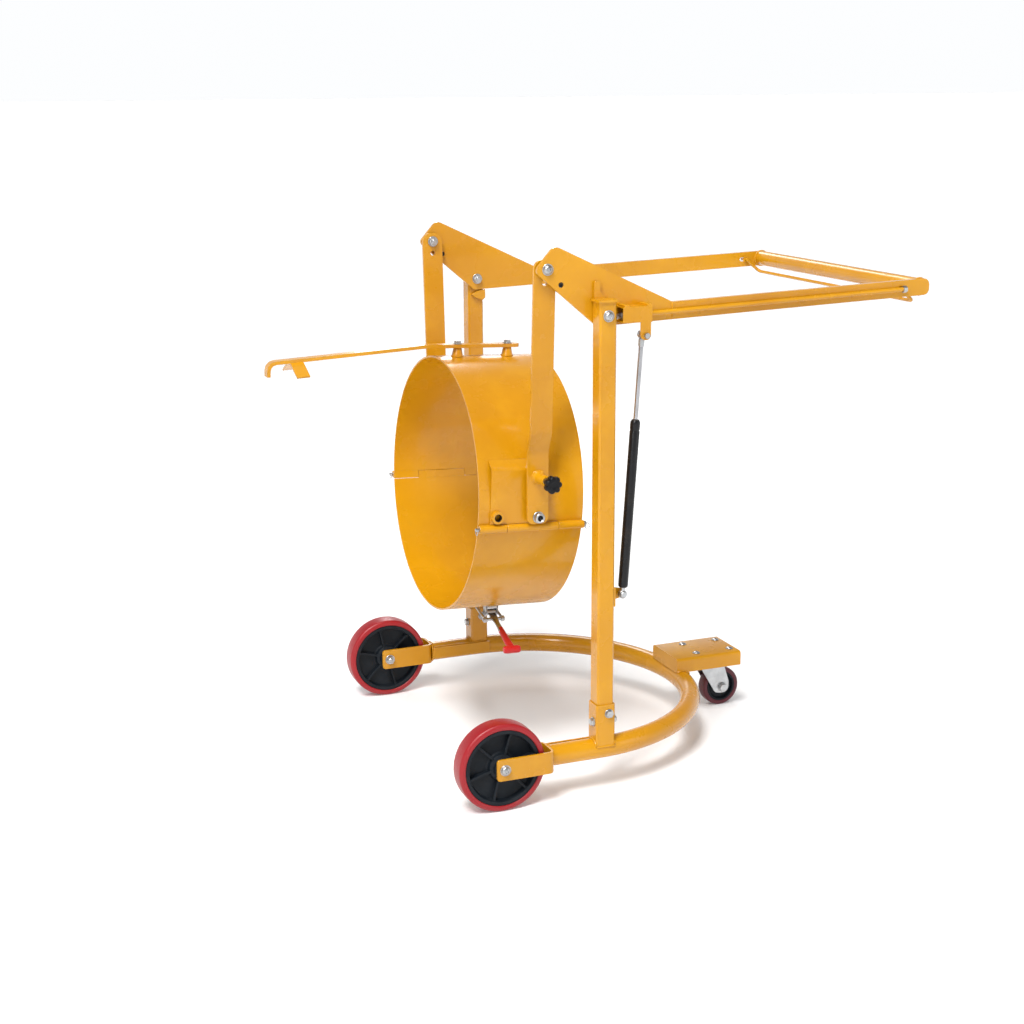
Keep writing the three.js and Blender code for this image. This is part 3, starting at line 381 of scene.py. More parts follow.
def plated(name, slot, tint, rough=0.3, streak=(1, 1, 14)):
    """Zinc-plated steel: bright with cloudy patches and fine draw lines."""
    n = Nodes(name, slot)
    cloud = n.spread(n.noise(38, 4), 0.3, 0.72)
    tone = n.mix(cloud, (*tint, 1), (*[c * 0.72 for c in tint], 1))
    stain = n.spread(n.noise(110, 5, 0.7), 0.6, 0.74)
    tone = n.mix(n.math("MULTIPLY", stain, 0.35), tone, (0.16, 0.13, 0.1, 1))
    fine = n.noise(420, 2, 0.5, streak)
    base = n.spread(fine, 0.3, 0.7, rough - 0.07, rough + 0.09)
    roughness = n.math("ADD", base, n.math("MULTIPLY", stain, 0.2))
    n.bump(fine, 0.12, 0.0003)
    return n.set(Base_Color=tone, Metallic=1.0, Roughness=roughness)


def moulded(name, slot, main, worn, rough=0.5, grain=240, edge=0.5):
    """Moulded plastic or cast rubber: fine grain, dusty patches and rubbed edges."""
    n = Nodes(name, slot)
    dust = n.spread(n.noise(16, 6, 0.7), 0.46, 0.78)
    tone = n.mix(n.math("MULTIPLY", dust, 0.3), (*main, 1), (*worn, 1))
    rub = n.math("MULTIPLY", n.edges(0.0018), n.spread(n.noise(70, 4), 0.4, 0.62))
    tone = n.mix(n.math("MULTIPLY", rub, edge), tone, (*worn, 1))
    fine = n.noise(grain, 3, 0.6)
    base = n.spread(fine, 0.3, 0.7, rough - 0.06, rough + 0.08)
    roughness = n.math("ADD", base, n.math("MULTIPLY", dust, 0.12))
    n.bump(fine, 0.2, 0.0004)
    return n.set(Base_Color=tone, Roughness=roughness, IOR=1.48)


PAINT = enamel(
    "yellow_enamel", "frame_paint",
    main=(0.6, 0.275, 0.003), deep=(0.48, 0.2, 0.0015), pale=(0.72, 0.37, 0.01),
)
BLACK_PAINT = enamel(
    "black_enamel", "black_paint",
    main=(0.006, 0.006, 0.007), deep=(0.01, 0.01, 0.011), pale=(0.018, 0.018, 0.02),
)
ZINC = plated("zinc_plate", "zinc_steel", (0.55, 0.56, 0.57), 0.3)
CHROME = plated("hard_chrome", "chrome_rod", (0.5, 0.5, 0.52), 0.2, (1, 1, 40))
RED_TYRE = moulded(
    "red_polyurethane", "red_tyre",
    main=(0.31, 0.005, 0.01), worn=(0.24, 0.04, 0.04), rough=0.36,
)
MAROON_TYRE = moulded(
    "maroon_polyurethane", "maroon_tyre",
    main=(0.09, 0.004, 0.012), worn=(0.13, 0.035, 0.04), rough=0.36,
)
CORE = moulded(
    "dark_core", "wheel_core",
    main=(0.006, 0.009, 0.013), worn=(0.035, 0.04, 0.045), rough=0.46, grain=180,
)
BLACK = moulded(
    "black_knob", "black_plastic",
    main=(0.005, 0.005, 0.006), worn=(0.03, 0.03, 0.032), rough=0.36, grain=300, edge=0.4,
)
RED_GRIP = moulded(
    "red_vinyl", "red_grip",
    main=(0.52, 0.01, 0.012), worn=(0.4, 0.08, 0.07), rough=0.3, grain=260, edge=0.4,
)

# The dark finishes mirror less of the white room.
for finish, coat in ((BLACK_PAINT, 0.15), (CORE, 0.0), (BLACK, 0.0)):
    sockets = finish.node_tree.nodes["Principled BSDF"].inputs
    sockets["Specular IOR Level"].default_value = 0.22
    sockets["Coat Weight"].default_value = coat


# ---------------------------------------------------------------- fasteners

def hexagon(radius, low, high, chamfer=0.8):
    """A hexagon with a chamfered top."""
    ring = [(math.cos(math.pi * k / 3), math.sin(math.pi * k / 3)) for k in range(6)]
    rows = [(radius, low), (radius, high - chamfer), (radius - chamfer * 1.3, high)]
    verts = [(x * r, y * r, z) for r, z in rows for x, y in ring]
    faces = [list(range(6))[::-1], [12 + k for k in range(6)]]
    for row in (0, 6):
        faces += [[row + k, row + (k + 1) % 6, row + 6 + (k + 1) % 6, row + 6 + k] for k in range(6)]
    return verts, faces


def washer(radius, bore, low, high):
    """A flat washer with its outer edges broken."""
    c = min(0.4, (high - low) / 3)
    profile = [(bore, low), (radius - c, low), (radius, low + c)]
    profile += [(radius, high - c), (radius - c, high), (bore, high), (bore, low)]
    return lathe(profile, 40)


def thread(radius, low, high, pitch=1.6):
    """A stub of thread with a chamfered end."""
    profile = [(0, low), (radius, low)]
    count = max(2, int((high - low - 1) / pitch))
    for i in range(count):
        z = low + i * pitch
        profile += [(radius, z + pitch * 0.2), (radius * 0.88, z + pitch * 0.7)]
    profile += [(radius, high - 1.2), (radius * 0.8, high), (0, high)]
    return lathe(profile, 28)


def dome(radius, low, high):
    """A button head with a hexagon socket."""
    turns = [i * 0.17 for i in range(8)]
    crown = [(radius * math.cos(a), low + (high - low) * math.sin(a)) for a in turns]
    socket = [(radius * 0.36, high), (radius * 0.3, high - 2.2), (0, high - 2.2)]
    return lathe([(0, low), *crown, *socket], 40)


def bolt(piece, start, direction, grip, radius, button=False):
    """A bolt head and washer at the start of its grip, washer, nut and thread at its end."""
    seat = aim(start, direction)
    w, head = radius * 0.3, radius * 1.3
    wide, bore = radius * 2.1, radius * 1.02
    piece.add(washer(wide, bore, -w, -0.2), seat)
    piece.add(cylinder(radius, -w - 0.5, grip + w + 1, 32), seat)
    flip = seat @ Matrix.Translation((0, 0, -w)) @ Matrix.Rotation(math.pi, 4, "X")
    top = dome(radius * 1.75, 0, head) if button else hexagon(radius * 1.8, 0, head)
    piece.add(top, flip)
    piece.add(washer(wide, bore, grip + 0.2, grip + w), seat)
    piece.add(hexagon(radius * 1.8, grip + w, grip + w + head), seat)
    piece.add(thread(radius, grip + w + head - 0.5, grip + w + head * 1.4), seat)


def build_fasteners():
    """The through bolts: part, start, direction, grip, radius and whether the head is a button."""
    for name, s in SIDES:
        jobs = [
            ("axle", (WHEEL_X, s * (WHEEL_Y + 35.6), WHEEL_R), (0, -s, 0), 71.2, 6, True),
            ("socket_side_bolt", (7, s * (TRACK_Y + 23), 188), (0, -s, 0), 46, 5, False),
            ("socket_cross_bolt", (-23, s * 400, 167), (1, 0, 0), 46, 5, False),
            ("lever_bolt", (0, s * 415, 1077), (0, -s, 0), 50, 6, True),
            ("arm_bolt", (ARM_X, s * 373, 1176), (0, -s, 0), 24.5, 6, True),
        ]
        for part, start, direction, grip, radius, button in jobs:
            node = f"{name}_{part}"
            piece = Piece(node + "_piece", BODY_OF[node], ZINC)
            bolt(piece, start, direction, grip, radius, button)
            if part == "arm_bolt":
                piece.add(washer(14, 6.2, 8.5, 11.4), aim(start, direction))
            piece.make([node], angle=30)


# ---------------------------------------------------------------- wheels

def tyre_shape(radius, inner, half, shoulder):
    """A tyre with rounded shoulders and a slight crown line round its middle."""
    turns = [i * math.pi / 14 for i in range(8)]
    foot, rise = radius - shoulder, shoulder * 0.8
    rounds = [(foot + shoulder * math.sin(a), half - rise + rise * math.cos(a)) for a in turns]
    profile = [(inner, -half + 1.2), (inner + 1.5, -half)]
    profile += [(r, -h) for r, h in rounds]
    profile += [(radius + 0.25, -1), (radius + 0.25, 1)]
    profile += list(reversed(rounds))
    profile += [(inner + 1.5, half), (inner, half - 1.2), (inner, -half + 1.2)]
    return lathe(profile, 128)


def both_faces(profile):
    """Closes the lower half of a profile with its mirror image."""
    return profile + [(r, -h) for r, h in reversed(profile)] + [profile[0]]


def core_shape(piece, seat):
    """A dished centre with a rim bead, a hub boss and six tapered ribs each side."""
    rim, hub, half = 87.6, 28.6, 22.4
    profile = [(6.1, -hub), (19, -hub), (21, -hub + 1.5), (22, -half + 3), (29, -half + 7)]
    profile += [(31, -7), (34, -5), (71, -4.5), (76, -7), (77.5, -half + 3)]
    profile += [(79, -half), (rim - 1, -half), (rim, -half + 1)]
    piece.add(lathe(both_faces(profile), 112), seat)
    for k in range(6):
        turn = seat @ Matrix.Rotation(k * math.pi / 3 + 0.26, 4, "Z")
        for side in (-1, 1):
            outline = [(27, 4), (78, 4), (78, half - 2.5)]
            outline += [(70, half - 6), (40, half - 8), (27, half - 5.5)]
            flat = Matrix.Rotation(math.pi / 2, 4, "X") @ Matrix.Scale(side, 4, Y)
            piece.add(prism(outline, -2.6, 2.6), turn @ flat)


def build_wheels():
    for name, s in SIDES:
        seat = aim((WHEEL_X, s * WHEEL_Y, WHEEL_R), (0, s, 0))
        body = name + "_wheel"
        tyre = Piece(name + "_tyre_piece", body, RED_TYRE)
        tyre.add(tyre_shape(101.3, 87.8, 24, 9), seat).make([name + "_tyre"])
        core = Piece(name + "_wheel_core_piece", body, CORE)
        core_shape(core, seat)
        core.make([name + "_wheel_core"], bevel=0.8, angle=32)
    seat = aim((CASTER_AXLE_X, 0, CASTER_R), (0, -1, 0))
    tyre = Piece("caster_tyre_piece", "caster_wheel", MAROON_TYRE)
    tyre.add(tyre_shape(49.8, 38.8, 16, 6), seat).make(["caster_tyre"])
    core = Piece("caster_core_piece", "caster_wheel", CORE)
    profile = [(6.1, -18), (12, -18), (14, -16), (15, -9), (31, -8)]
    profile += [(33, -13), (34.5, -15.4), (38, -15.4), (38.7, -14.6)]
    core.add(lathe(both_faces(profile), 72), seat).make(["caster_core"], bevel=0.5)


# ---------------------------------------------------------------- base

def tube_path():
    near = line((TUBE_END, -TRACK_Y, TUBE_Z), (RING_X, -TRACK_Y, TUBE_Z), 6)
    ring = arc((RING_X, 0, TUBE_Z), X, Y, TRACK_Y, -math.pi / 2, math.pi / 2, 96)
    far = line((RING_X, TRACK_Y, TUBE_Z), (TUBE_END, TRACK_Y, TUBE_Z), 6)
    return near[:-1] + ring + far[1:]


def build_base():
    tube = Piece("base_tube_piece", "frame", PAINT)
    tube.add(sweep(tube_path(), TUBE_R, 40)).make(["base_tube"], bevel=0.6, angle=50)
    flats = {"wheel_fork": 1.0, "leg_bar": 1.0, "post_socket": 1.0, "post": 0.7, "lever_stop": 1.0}
    for name, _ in SIDES:
        for part, rounding in flats.items():
            refine(f"{name}_{part}", PAINT, rounding)
    refine("caster_bracket", PAINT, 1.2)
    build_strut_lug()
    refine("caster_plate", ZINC, 0.6)
    build_welds()
    build_caster()


def build_strut_lug():
    """The lug on the near post that carries the strut's lower stud."""
    lug = Piece("strut_lower_bracket_piece", "frame", PAINT)
    lug.add(block((20.2, -410.8, 433.2), (24.3, -379.2, 476.8)))
    x, z = STRUT_FOOT.x, STRUT_FOOT.z
    turns = [math.pi * i / 14 for i in range(15)]
    nose = [(x + 11 * math.sin(a), z + 11 * math.cos(a)) for a in turns]
    outline = [(23, z + 16), *nose, (23, z - 16)]
    lug.add(prism(outline, -384, -380), IN_XZ)
    lug.make(["strut_lower_bracket"], bevel=0.8, angle=30)
    seam = Piece("strut_lug_weld", "frame", PAINT)
    for y in (-385, -379):
        seam.add(bead(line((25, y, z - 15), (25, y, z + 15), 24), 1.7))
    seam.make(angle=80)


def build_welds():
    """Painted weld beads where tube, forks, sockets and plates meet."""
    socket = 23
    rise = TUBE_Z + math.sqrt(TUBE_R ** 2 - socket ** 2) + 3
    for name, s in SIDES:
        track, bar_face = s * TRACK_Y, s * 371.2
        welds = Piece(name + "_base_welds", "frame", PAINT)
        ring = arc((-131, track, TUBE_Z), Y, Z, TUBE_R + 0.6, 0, FULL_TURN, 72)
        welds.add(bead(ring, 2.8))
        for x in (-socket, socket):
            reach = range(-22, 23, 2)
            saddle = [(x, track + t, TUBE_Z + math.sqrt(TUBE_R ** 2 - t * t) + 1.2) for t in reach]
            welds.add(bead(saddle, 2.6))
        for y in (-socket, socket):
            welds.add(bead(line((-socket, track + y, rise), (socket, track + y, rise), 22), 2.2))
        welds.add(bead(line((-128, bar_face, 119), (12, bar_face, 119), 60), 2.0))
        welds.make(angle=80)


def build_caster():
    refine("caster_yoke", ZINC, 1.6, 32)
    axle = Piece("caster_axle_piece", "caster_swivel", ZINC)
    bolt(axle, (CASTER_AXLE_X, -23, CASTER_R), (0, 1, 0), 46, 6)
    axle.make(["caster_axle"], angle=30)
    race = Piece("caster_race", "caster_swivel", ZINC)
    profile = [(38.5, 134), (41, 136), (41, 139), (38.5, 142), (36, 142), (36, 134), (38.5, 134)]
    race.add(lathe(profile, 64), Matrix.Translation((CASTER_X, 0, 0)))
    race.make(angle=30)
    heads = Piece("caster_bolt_heads", "frame", ZINC)
    for x in (428, 522):
        for y in (-37.5, 37.5):
            seat = Matrix.Translation((x, y, 157))
            heads.add(washer(9.5, 4, 0, 1.3), seat)
            heads.add(dome(7.5, 1.2, 4.4), seat)
            heads.add(hexagon(7, 141, 147.4), Matrix.Translation((x, y, 0)))
    heads.make(angle=30)
    weld = Piece("caster_bracket_weld", "frame", PAINT)
    crest_x, bracket_y = 374.2, 67.9
    for s in (-1, 1):
        points = []
        for i in range(25):
            x = 360 + i * 1.55
            dx = x - crest_x
            if abs(dx) < TUBE_R - 3:
                points.append((x, s * bracket_y, TUBE_Z + math.sqrt(TUBE_R ** 2 - dx * dx) + 1.4))
        weld.add(bead(points, 2.2))
    weld.make(angle=80)


# ---------------------------------------------------------------- lever, handle and strut

def handle_z(x):
    """Height of the handle bars' middle line, which rises to the rear."""
    return 1075 + (x - 172.3) * math.tan(math.radians(1.8))


def build_lever():
    grip_z = handle_z(GRIP_X)
    for name, s in SIDES:
        refine(name + "_lever_plate", PAINT, 1.0)
        refine(name + "_handle_bar", PAINT, 1.6)
        # Painted shade: a black-painted plug with a dished face, set inside the lever plate's hole,
        # stands in for the shade inside the hole.
        plug_shade = Piece(name + "_lever_hole_shade", "lever", BLACK_PAINT)
        profile = [(0, 366.2), (5.7, 366.2), (5.7, 371.4), (5, 372), (3, 372), (2.6, 369.5), (0, 369.5)]
        plug_shade.add(lathe(profile, 32), aim((-91.5, 0, 1142.5), (0, s, 0))).make(angle=30)
        welds = Piece(name + "_lever_welds", "lever", PAINT)
        welds.add(bead(line((172.2, s * 373.2, 1057), (172.2, s * 373.2, 1093), 24), 2.2))
        ring = arc((GRIP_X, s * 361, grip_z), X, Z, 19.4, 0, FULL_TURN, 60)
        welds.add(bead(ring, 2.2))
        welds.make(angle=80)
    grip = Piece("grip_tube_piece", "lever", PAINT)
    tube = sleeve(16.6, 19, -GRIP_HALF, GRIP_HALF, 56)
    grip.add(tube, aim((GRIP_X, 0, grip_z), Y)).make(["grip_tube"], bevel=0.4)
    refine("strut_upper_bracket", PAINT, 1.0)
    ears = Piece("strut_bracket_ears", "lever", PAINT)
    for x in (37, 91):
        ears.add(block((x, -414.6, 1090.8), (x + 12, -373.6, 1098.2)))
    ears.make(bevel=1.6, segments=3)
    ball = Piece("strut_upper_ball", "lever", ZINC)
    profile = [(0, -9), (6, -9), (6.6, -7), (6.6, -3), (6, -1), (0, -1)]
    ball.add(lathe(profile, 32), aim((STRUT_HEAD.x, -415, STRUT_HEAD.z), Y))
    ball.make(angle=30)
    build_release()
    build_strut()


def build_release():
    """The bail under the grip, the rod it pulls and the lock bolt the rod draws."""
    pivot_z, start = handle_z(BAIL_X), handle_z(94)
    rod = Piece("release_rod_piece", "release", PAINT)
    rod.add(sweep(line((93, ROD_Y, start), (760, ROD_Y, handle_z(760)), 12), 4.9, 28))
    rod.add(block((84, -401, start - 6), (94, -379, start + 6)))
    rod.make(["release_rod"], bevel=0.8)
    lock = Piece("lock_bolt_piece", "release", ZINC)
    profile = [(0, 25), (4.6, 25), (6, 27), (6, 85), (0, 85)]
    lock.add(lathe(profile, 36), aim((0, LOCK_BOLT_Y, start), X))
    coil = []
    for i in range(210):
        a = i * 0.35
        coil.append((36 + i * 0.22, LOCK_BOLT_Y + 8 * math.cos(a), start + 8 * math.sin(a)))
    lock.add(sweep(coil, 1.1, 8))
    nut = Matrix.Translation((0, ROD_Y, handle_z(759))) @ Matrix.Rotation(math.pi / 2, 4, "Y")
    lock.add(hexagon(8, 754, 764), nut)
    lock.make(angle=30)
    side, front_x, front_z = 353.5, 803, handle_z(GRIP_X) - 34
    near = [(BAIL_X, -side, pivot_z), (front_x, -side, front_z)]
    far = [(front_x, side, front_z), (BAIL_X, side, pivot_z)]
    bail = Piece("release_bail_piece", "release", PAINT)
    bail.add(sweep(bend(near + far, 14, 10), 4, 24))
    for s, reach in ((-1, 382), (1, 377)):
        seat = aim((BAIL_X, 0, pivot_z), (0, s, 0))
        profile = [(0, 349), (4.4, 349), (4.4, reach), (3.4, reach + 1), (0, reach + 1)]
        bail.add(lathe(profile, 28), seat)
        bail.add(washer(8, 4.4, 357.4, 359.4), seat)
    bail.make(["release_bail"], bevel=0.3)


def build_strut():
    """The strut between its studs: painted cylinder, chromed rod and an eye at each end."""
    length = (STRUT_HEAD - STRUT_FOOT).length
    seat = aim(STRUT_FOOT, STRUT_HEAD - STRUT_FOOT)
    tube = Piece("strut_cylinder_piece", "strut_cylinder", BLACK_PAINT)
    foot = [(0, 16), (8, 16), (10.2, 18), (11, 22)]
    groove = [(11, 366), (10.3, 367.5), (10.3, 370), (11, 371.5)]
    gland = [(11, 384), (10.4, 388), (9, 390), (8.2, 392), (5.3, 392), (5.3, 250), (0, 250)]
    tube.add(lathe(foot + groove + gland, 64), seat).make(["strut_cylinder"], angle=28)
    ends = Piece("strut_lower_eye", "strut_cylinder", ZINC)
    eye(ends, seat, 0)
    ends.add(lathe([(0, 8.5), (5.5, 8.5), (6, 10), (6, 17), (0, 17)], 32), seat)
    ends.make(angle=30)
    rod = Piece("strut_rod_piece", "strut_rod", CHROME)
    profile = [(0, 255), (4.6, 255), (5, 256), (5, length - 16), (0, length - 16)]
    rod.add(lathe(profile, 48), seat).make(["strut_rod"])
    top = Piece("strut_upper_eye", "strut_rod", ZINC)
    eye(top, seat, length)
    profile = [(0, length - 26), (5.8, length - 26), (6.4, length - 24)]
    profile += [(6.4, length - 9), (0, length - 9)]
    top.add(lathe(profile, 32), seat)
    top.make(angle=30)
    stud = Piece("strut_lower_stud", "frame", ZINC)
    seat = aim(STRUT_FOOT, Y)
    stud.add(lathe([(0, -9), (6, -9), (7, -8), (7, -6.2), (0, -6.2)], 32), seat)
    stud.add(cylinder(4.5, -7, 16), seat)
    stud.add(hexagon(7.5, 15.4, 21), seat)
    stud.make(angle=30)


def eye(piece, seat, height):
    """A ring round a stud, at a distance up the strut's axis from its foot."""
    profile = [(6.8, -4.6), (8.8, -5), (9.5, -4), (9.5, 4), (8.8, 5), (6.8, 4.6), (6.8, -4.6)]
    lean = math.atan2(STRUT_HEAD.x - STRUT_FOOT.x, STRUT_HEAD.z - STRUT_FOOT.z)
    turn = Matrix.Translation((0, 0, height)) @ Matrix.Rotation(math.pi / 2, 4, "X")
    base = Matrix.Translation(seat.to_translation()) @ Matrix.Rotation(lean, 4, "Y")
    piece.add(lathe(profile, 40), base @ turn)


# ---------------------------------------------------------------- arms, plunger and knob

def build_arms():
    for name, _ in SIDES:
        refine(name + "_arm", PAINT, 1.0, 25)
    start = (ARM_X, -319.3, KNOB_Z)
    housing = Piece("plunger_housing_piece", "arms", PAINT)
    profile = [(7.9, 0), (14, 0), (15, 1), (14.5, 4), (12, 7)]
    profile += [(11, 10), (11, 44), (10, 47), (7.9, 47), (7.9, 0)]
    housing.add(lathe(profile, 48), aim(start, -Y))
    pin = aim((ARM_X, -342, 731), Z)
    housing.add(lathe([(0, -2), (4, -2), (4, 7), (3.4, 8.4), (0, 9)], 28), pin)
    housing.make(["plunger_housing"], angle=30)
    knob = Piece("lock_knob_piece", "plunger", BLACK)
    seat = aim((ARM_X, KNOB_Y, KNOB_Z), -Y)
    knob.add(knob_shape(), seat)
    knob.make(["lock_knob"], bevel=0.6, angle=40)
    shaft = Piece("lock_pin", "plunger", ZINC)
    shaft.add(lathe([(0, 6.4), (5.6, 6.4), (7.4, 8.4), (7.4, 71), (0, 71)], 40), seat)
    shaft.make(angle=30)
    weld = Piece("housing_weld", "arms", PAINT)
    weld.add(bead(arc((ARM_X, -320.2, KNOB_Z), X, Z, 15.2, 0, FULL_TURN, 48), 1.6))
    weld.make(angle=80)


def knob_shape():
    """A seven-lobed hand knob on a tapered neck, with a dished face."""
    rows = [(0, 70), (8, 70), (9, 73), (9.5, 82), (14, 85), (18.2, 87), (19.8, 91)]
    rows += [(20.2, 96), (19.8, 101), (18, 104.6), (14, 106.4), (9, 106.8), (7, 105.2), (0, 105)]
    lobes, sides = 7, 112
    verts, index = [], []
    for radius, height in rows:
        if radius == 0:
            index.append([len(verts)] * sides)
            verts.append((0, 0, height))
            continue
        index.append([len(verts) + i for i in range(sides)])
        depth = 0.13 * max(0.0, min(1.0, (radius - 9) / 8))
        for i in range(sides):
            a = FULL_TURN * i / sides
            wave = abs(math.cos(lobes / 2 * a)) ** 0.7
            r = radius * (1 - depth * 2 + depth * 2 * wave)
            verts.append((r * math.cos(a), r * math.sin(a), height))
    return verts, quads(zip(index, index[1:]), sides)


# ---------------------------------------------------------------- holder

def shell(x0, x1, a0, a1, sides):
    """A curved plate of the band between two stations and two angles from +Y."""
    outer, inner = BAND_R, BAND_R - BAND_THICK
    verts, columns = [], sides + 1
    for x, r in ((x0, inner), (x0, outer), (x1, outer), (x1, inner)):
        for i in range(columns):
            a = a0 + (a1 - a0) * i / sides
            verts.append((x, r * math.cos(a), BAND_RISE + r * math.sin(a)))
    faces = []
    for row in range(4):
        low, high = row * columns, ((row + 1) % 4) * columns
        faces += [[low + i, low + i + 1, high + i + 1, high + i] for i in range(sides)]
    faces.append([row * columns for row in range(4)])
    faces.append([row * columns + sides for row in reversed(range(4))])
    return verts, faces


def barrel(x0, x1, side):
    """A hinge knuckle between two stations, and where it goes."""
    bore, edge = PIN_R + 0.3, BARREL_R - 1
    profile = [(bore, x0), (edge, x0), (BARREL_R, x0 + 1), (BARREL_R, x1 - 1), (edge, x1)]
    profile += [(bore, x1), (bore, x0)]
    return lathe(profile, 36), aim((0, side * HINGE_Y, HINGE_Z), X)


def band_angle(above_hinge):
    """The band's angle from +Y at a height above the hinge's axis."""
    return math.asin((HINGE_Z + above_hinge - BAND_RISE) / BAND_MID)


def build_band():
    """The fixed half, the two doors hinged to it and the hinges' welds."""
    x0, x1, x2, x3 = KNUCKLES
    gap, lap, seam = 0.3, 0.001, math.asin(1 / BAND_MID)
    tail, crest = band_angle(-8.5), band_angle(8.5)
    lowered, lifted = band_angle(-9.15), band_angle(9.15)
    half = Piece("band_half_piece", "holder", PAINT, HOLDER)
    half.add(shell(x0, x3, lifted, math.pi - lifted, 150))
    for side in (-1, 1):
        low, high = tail, lifted + lap
        if side < 0:
            low, high = math.pi - high, math.pi - low
        for a, b in ((x0, x1 - gap), (x2 + gap, x3)):
            half.add(*barrel(a, b, side))
            half.add(shell(a, b, low, high, 4))
    half.make(["band_half"], bevel=0.9, angle=30)
    for name, side in SIDES:
        door = Piece(name + "_door_piece", name + "_door", PAINT, HOLDER)
        if side > 0:
            start, end = -math.pi / 2 + seam, lowered
            neck = (lowered - lap, crest)
        else:
            start, end = math.pi - lowered, 1.5 * math.pi - seam
            neck = (math.pi - crest, math.pi - lowered + lap)
        door.add(shell(x0, x3, start, end, 76))
        door.add(shell(x1 + gap, x2 - gap, *neck, 4))
        door.add(*barrel(x1 + gap, x2 - gap, side))
        door.make([name + "_door"], bevel=0.9, angle=30)
        build_hinge_pin(name, side)
        y, z = side * 295.2, HINGE_Z - 7.2
        welds = Piece(name + "_hinge_welds", name + "_door", PAINT, HOLDER)
        welds.add(bead(line((x1 + 2, y, z), (x2 - 2, y, z), 60), 1.8))
        welds.make(angle=80)
        y, z = side * 296.4, HINGE_Z + 7.4
        upper = Piece(name + "_knuckle_welds", "holder", PAINT, HOLDER)
        for a, b in ((x0, x1), (x2, x3)):
            upper.add(bead(line((a + 2, y, z), (b - 2, y, z), 30), 1.8))
        upper.make(angle=80)
    build_latch_plates()


def build_hinge_pin(name, side):
    """A headed pin with a split ring through each end."""
    pin = Piece(name + "_hinge_pin_piece", "holder", ZINC, HOLDER)
    seat = aim((0, side * HINGE_Y, HINGE_Z), X)
    front, back = BAND_FRONT, BAND_BACK
    profile = [(0, front - 9), (2.6, front - 9), (PIN_R, front - 7.5), (PIN_R, back + 0.4)]
    profile += [(6.2, back + 0.4), (7, back + 1.2), (7, back + 4.6), (6.2, back + 5.6), (0, back + 5.6)]
    pin.add(lathe(profile, 36), seat)
    for x, r, across in ((front - 5.5, 6.5, Y), (back + 9.5, 6, X)):
        centre = (x, side * HINGE_Y, HINGE_Z - r + 1.5)
        ring = arc(centre, across, Z, r, 0.3, FULL_TURN - 0.1, 40)
        pin.add(sweep(ring, 0.9, 10))
    pin.make([name + "_hinge_pin"], angle=40)


def build_latch_plates():
    """The ears under the near door and the keeper on the far one."""
    x, y, z = LATCH
    ears = Piece("latch_ears", "near_door", ZINC, HOLDER)
    top = BAND_BOTTOM + 3
    outline = [(y - 9, top), (y - 9, z - 2), (y - 5, z - 8)]
    outline += [(y + 5, z - 8), (y + 9, z - 2), (y + 9, top)]
    for low in (x - 16, x + 12):
        ears.add(prism(outline, low, low + 4), IN_YZ)
    ears.add(block((x - 16, y - 9, BAND_BOTTOM - 4), (x + 16, y + 9, BAND_BOTTOM + 1)))
    ears.make(bevel=0.6)
    keeper = Piece("latch_keeper", "far_door", BLACK_PAINT, HOLDER)
    keeper.add(block((x - 14, 14, z + 4), (x + 14, 34, BAND_BOTTOM + 1)))
    keeper.make(bevel=2.2, segments=4)


def build_latch():
    """The toggle lever with its grip, and the bail that hooks over the keeper."""
    x, y, z = LATCH
    seat = HOLDER @ Matrix.Translation((x, y, z)) @ Matrix.Rotation(LATCH_SLOPE, 4, "X")
    trunnion = (0, -24, -4)
    plate = Piece("latch_lever_plate", "latch_lever", ZINC, seat)
    outline = [(-9, 7), (-9, -22), (-6, -46), (-6, -78), (6, -78), (6, -46), (9, -22), (9, 7)]
    plate.add(prism(outline, -2, 2))
    across = aim((0, 0, 0), X)
    plate.add(cylinder(4, -16.6, 16.6), across)
    plate.add(sleeve(4.1, 7.4, -11.4, 11.4, 32), across)
    profile = [(0, -28), (3.4, -28), (4, -27), (4, 27), (3.4, 28), (0, 28)]
    plate.add(lathe(profile, 28), aim(trunnion, X))
    plate.make(bevel=0.5)
    grip = Piece("latch_grip", "latch_lever", RED_GRIP, seat)
    path = line((0, -66, 0), (0, -148, 0), 14)
    radii = [6.6 + 2.6 * i / 14 for i in range(15)]
    grip.add(sweep(path, radii, 32, 0.62))
    ends = [7.4, 8.8, 9.2, 9.2, 9.0, 9.0, 9.2, 9.2, 8.8, 7.4]
    grip.add(sweep(line((-20.5, -149, 0), (20.5, -149, 0), 9), ends, 32, 0.8))
    grip.make(["latch_lever"], bevel=1.4, angle=50, segments=4)
    offset = Matrix.Rotation(LATCH_SLOPE, 3, "X") @ Vector(trunnion)
    ey, ez = y + offset.y, z + offset.z
    corners = [(x - 22, ey, ez), (x - 22, 8, z + 5), (x + 22, 8, z + 5), (x + 22, ey, ez)]
    path = bend(corners, 10, 10)
    bail = Piece("latch_bail_piece", "latch_bail", ZINC, HOLDER)
    bail.add(sweep(path, 3.4, 24))
    profile = [(4.2, -3.6), (6.4, -3.6), (7, -3), (7, 3), (6.4, 3.6), (4.2, 3.6), (4.2, -3.6)]
    for s in (-1, 1):
        bail.add(lathe(profile, 36), aim((x + s * 22, ey, ez), X))
    bail.make(["latch_bail"], angle=40)


def build_holder():
    build_band()
    build_latch()
    for name, side in SIDES:
        refine(name + "_index_bracket", PAINT, 0.9, 28)
        build_pivot(name, side)
    refine("rim_hook_bar", PAINT, 1.0, 32)
    build_hook_bolts()


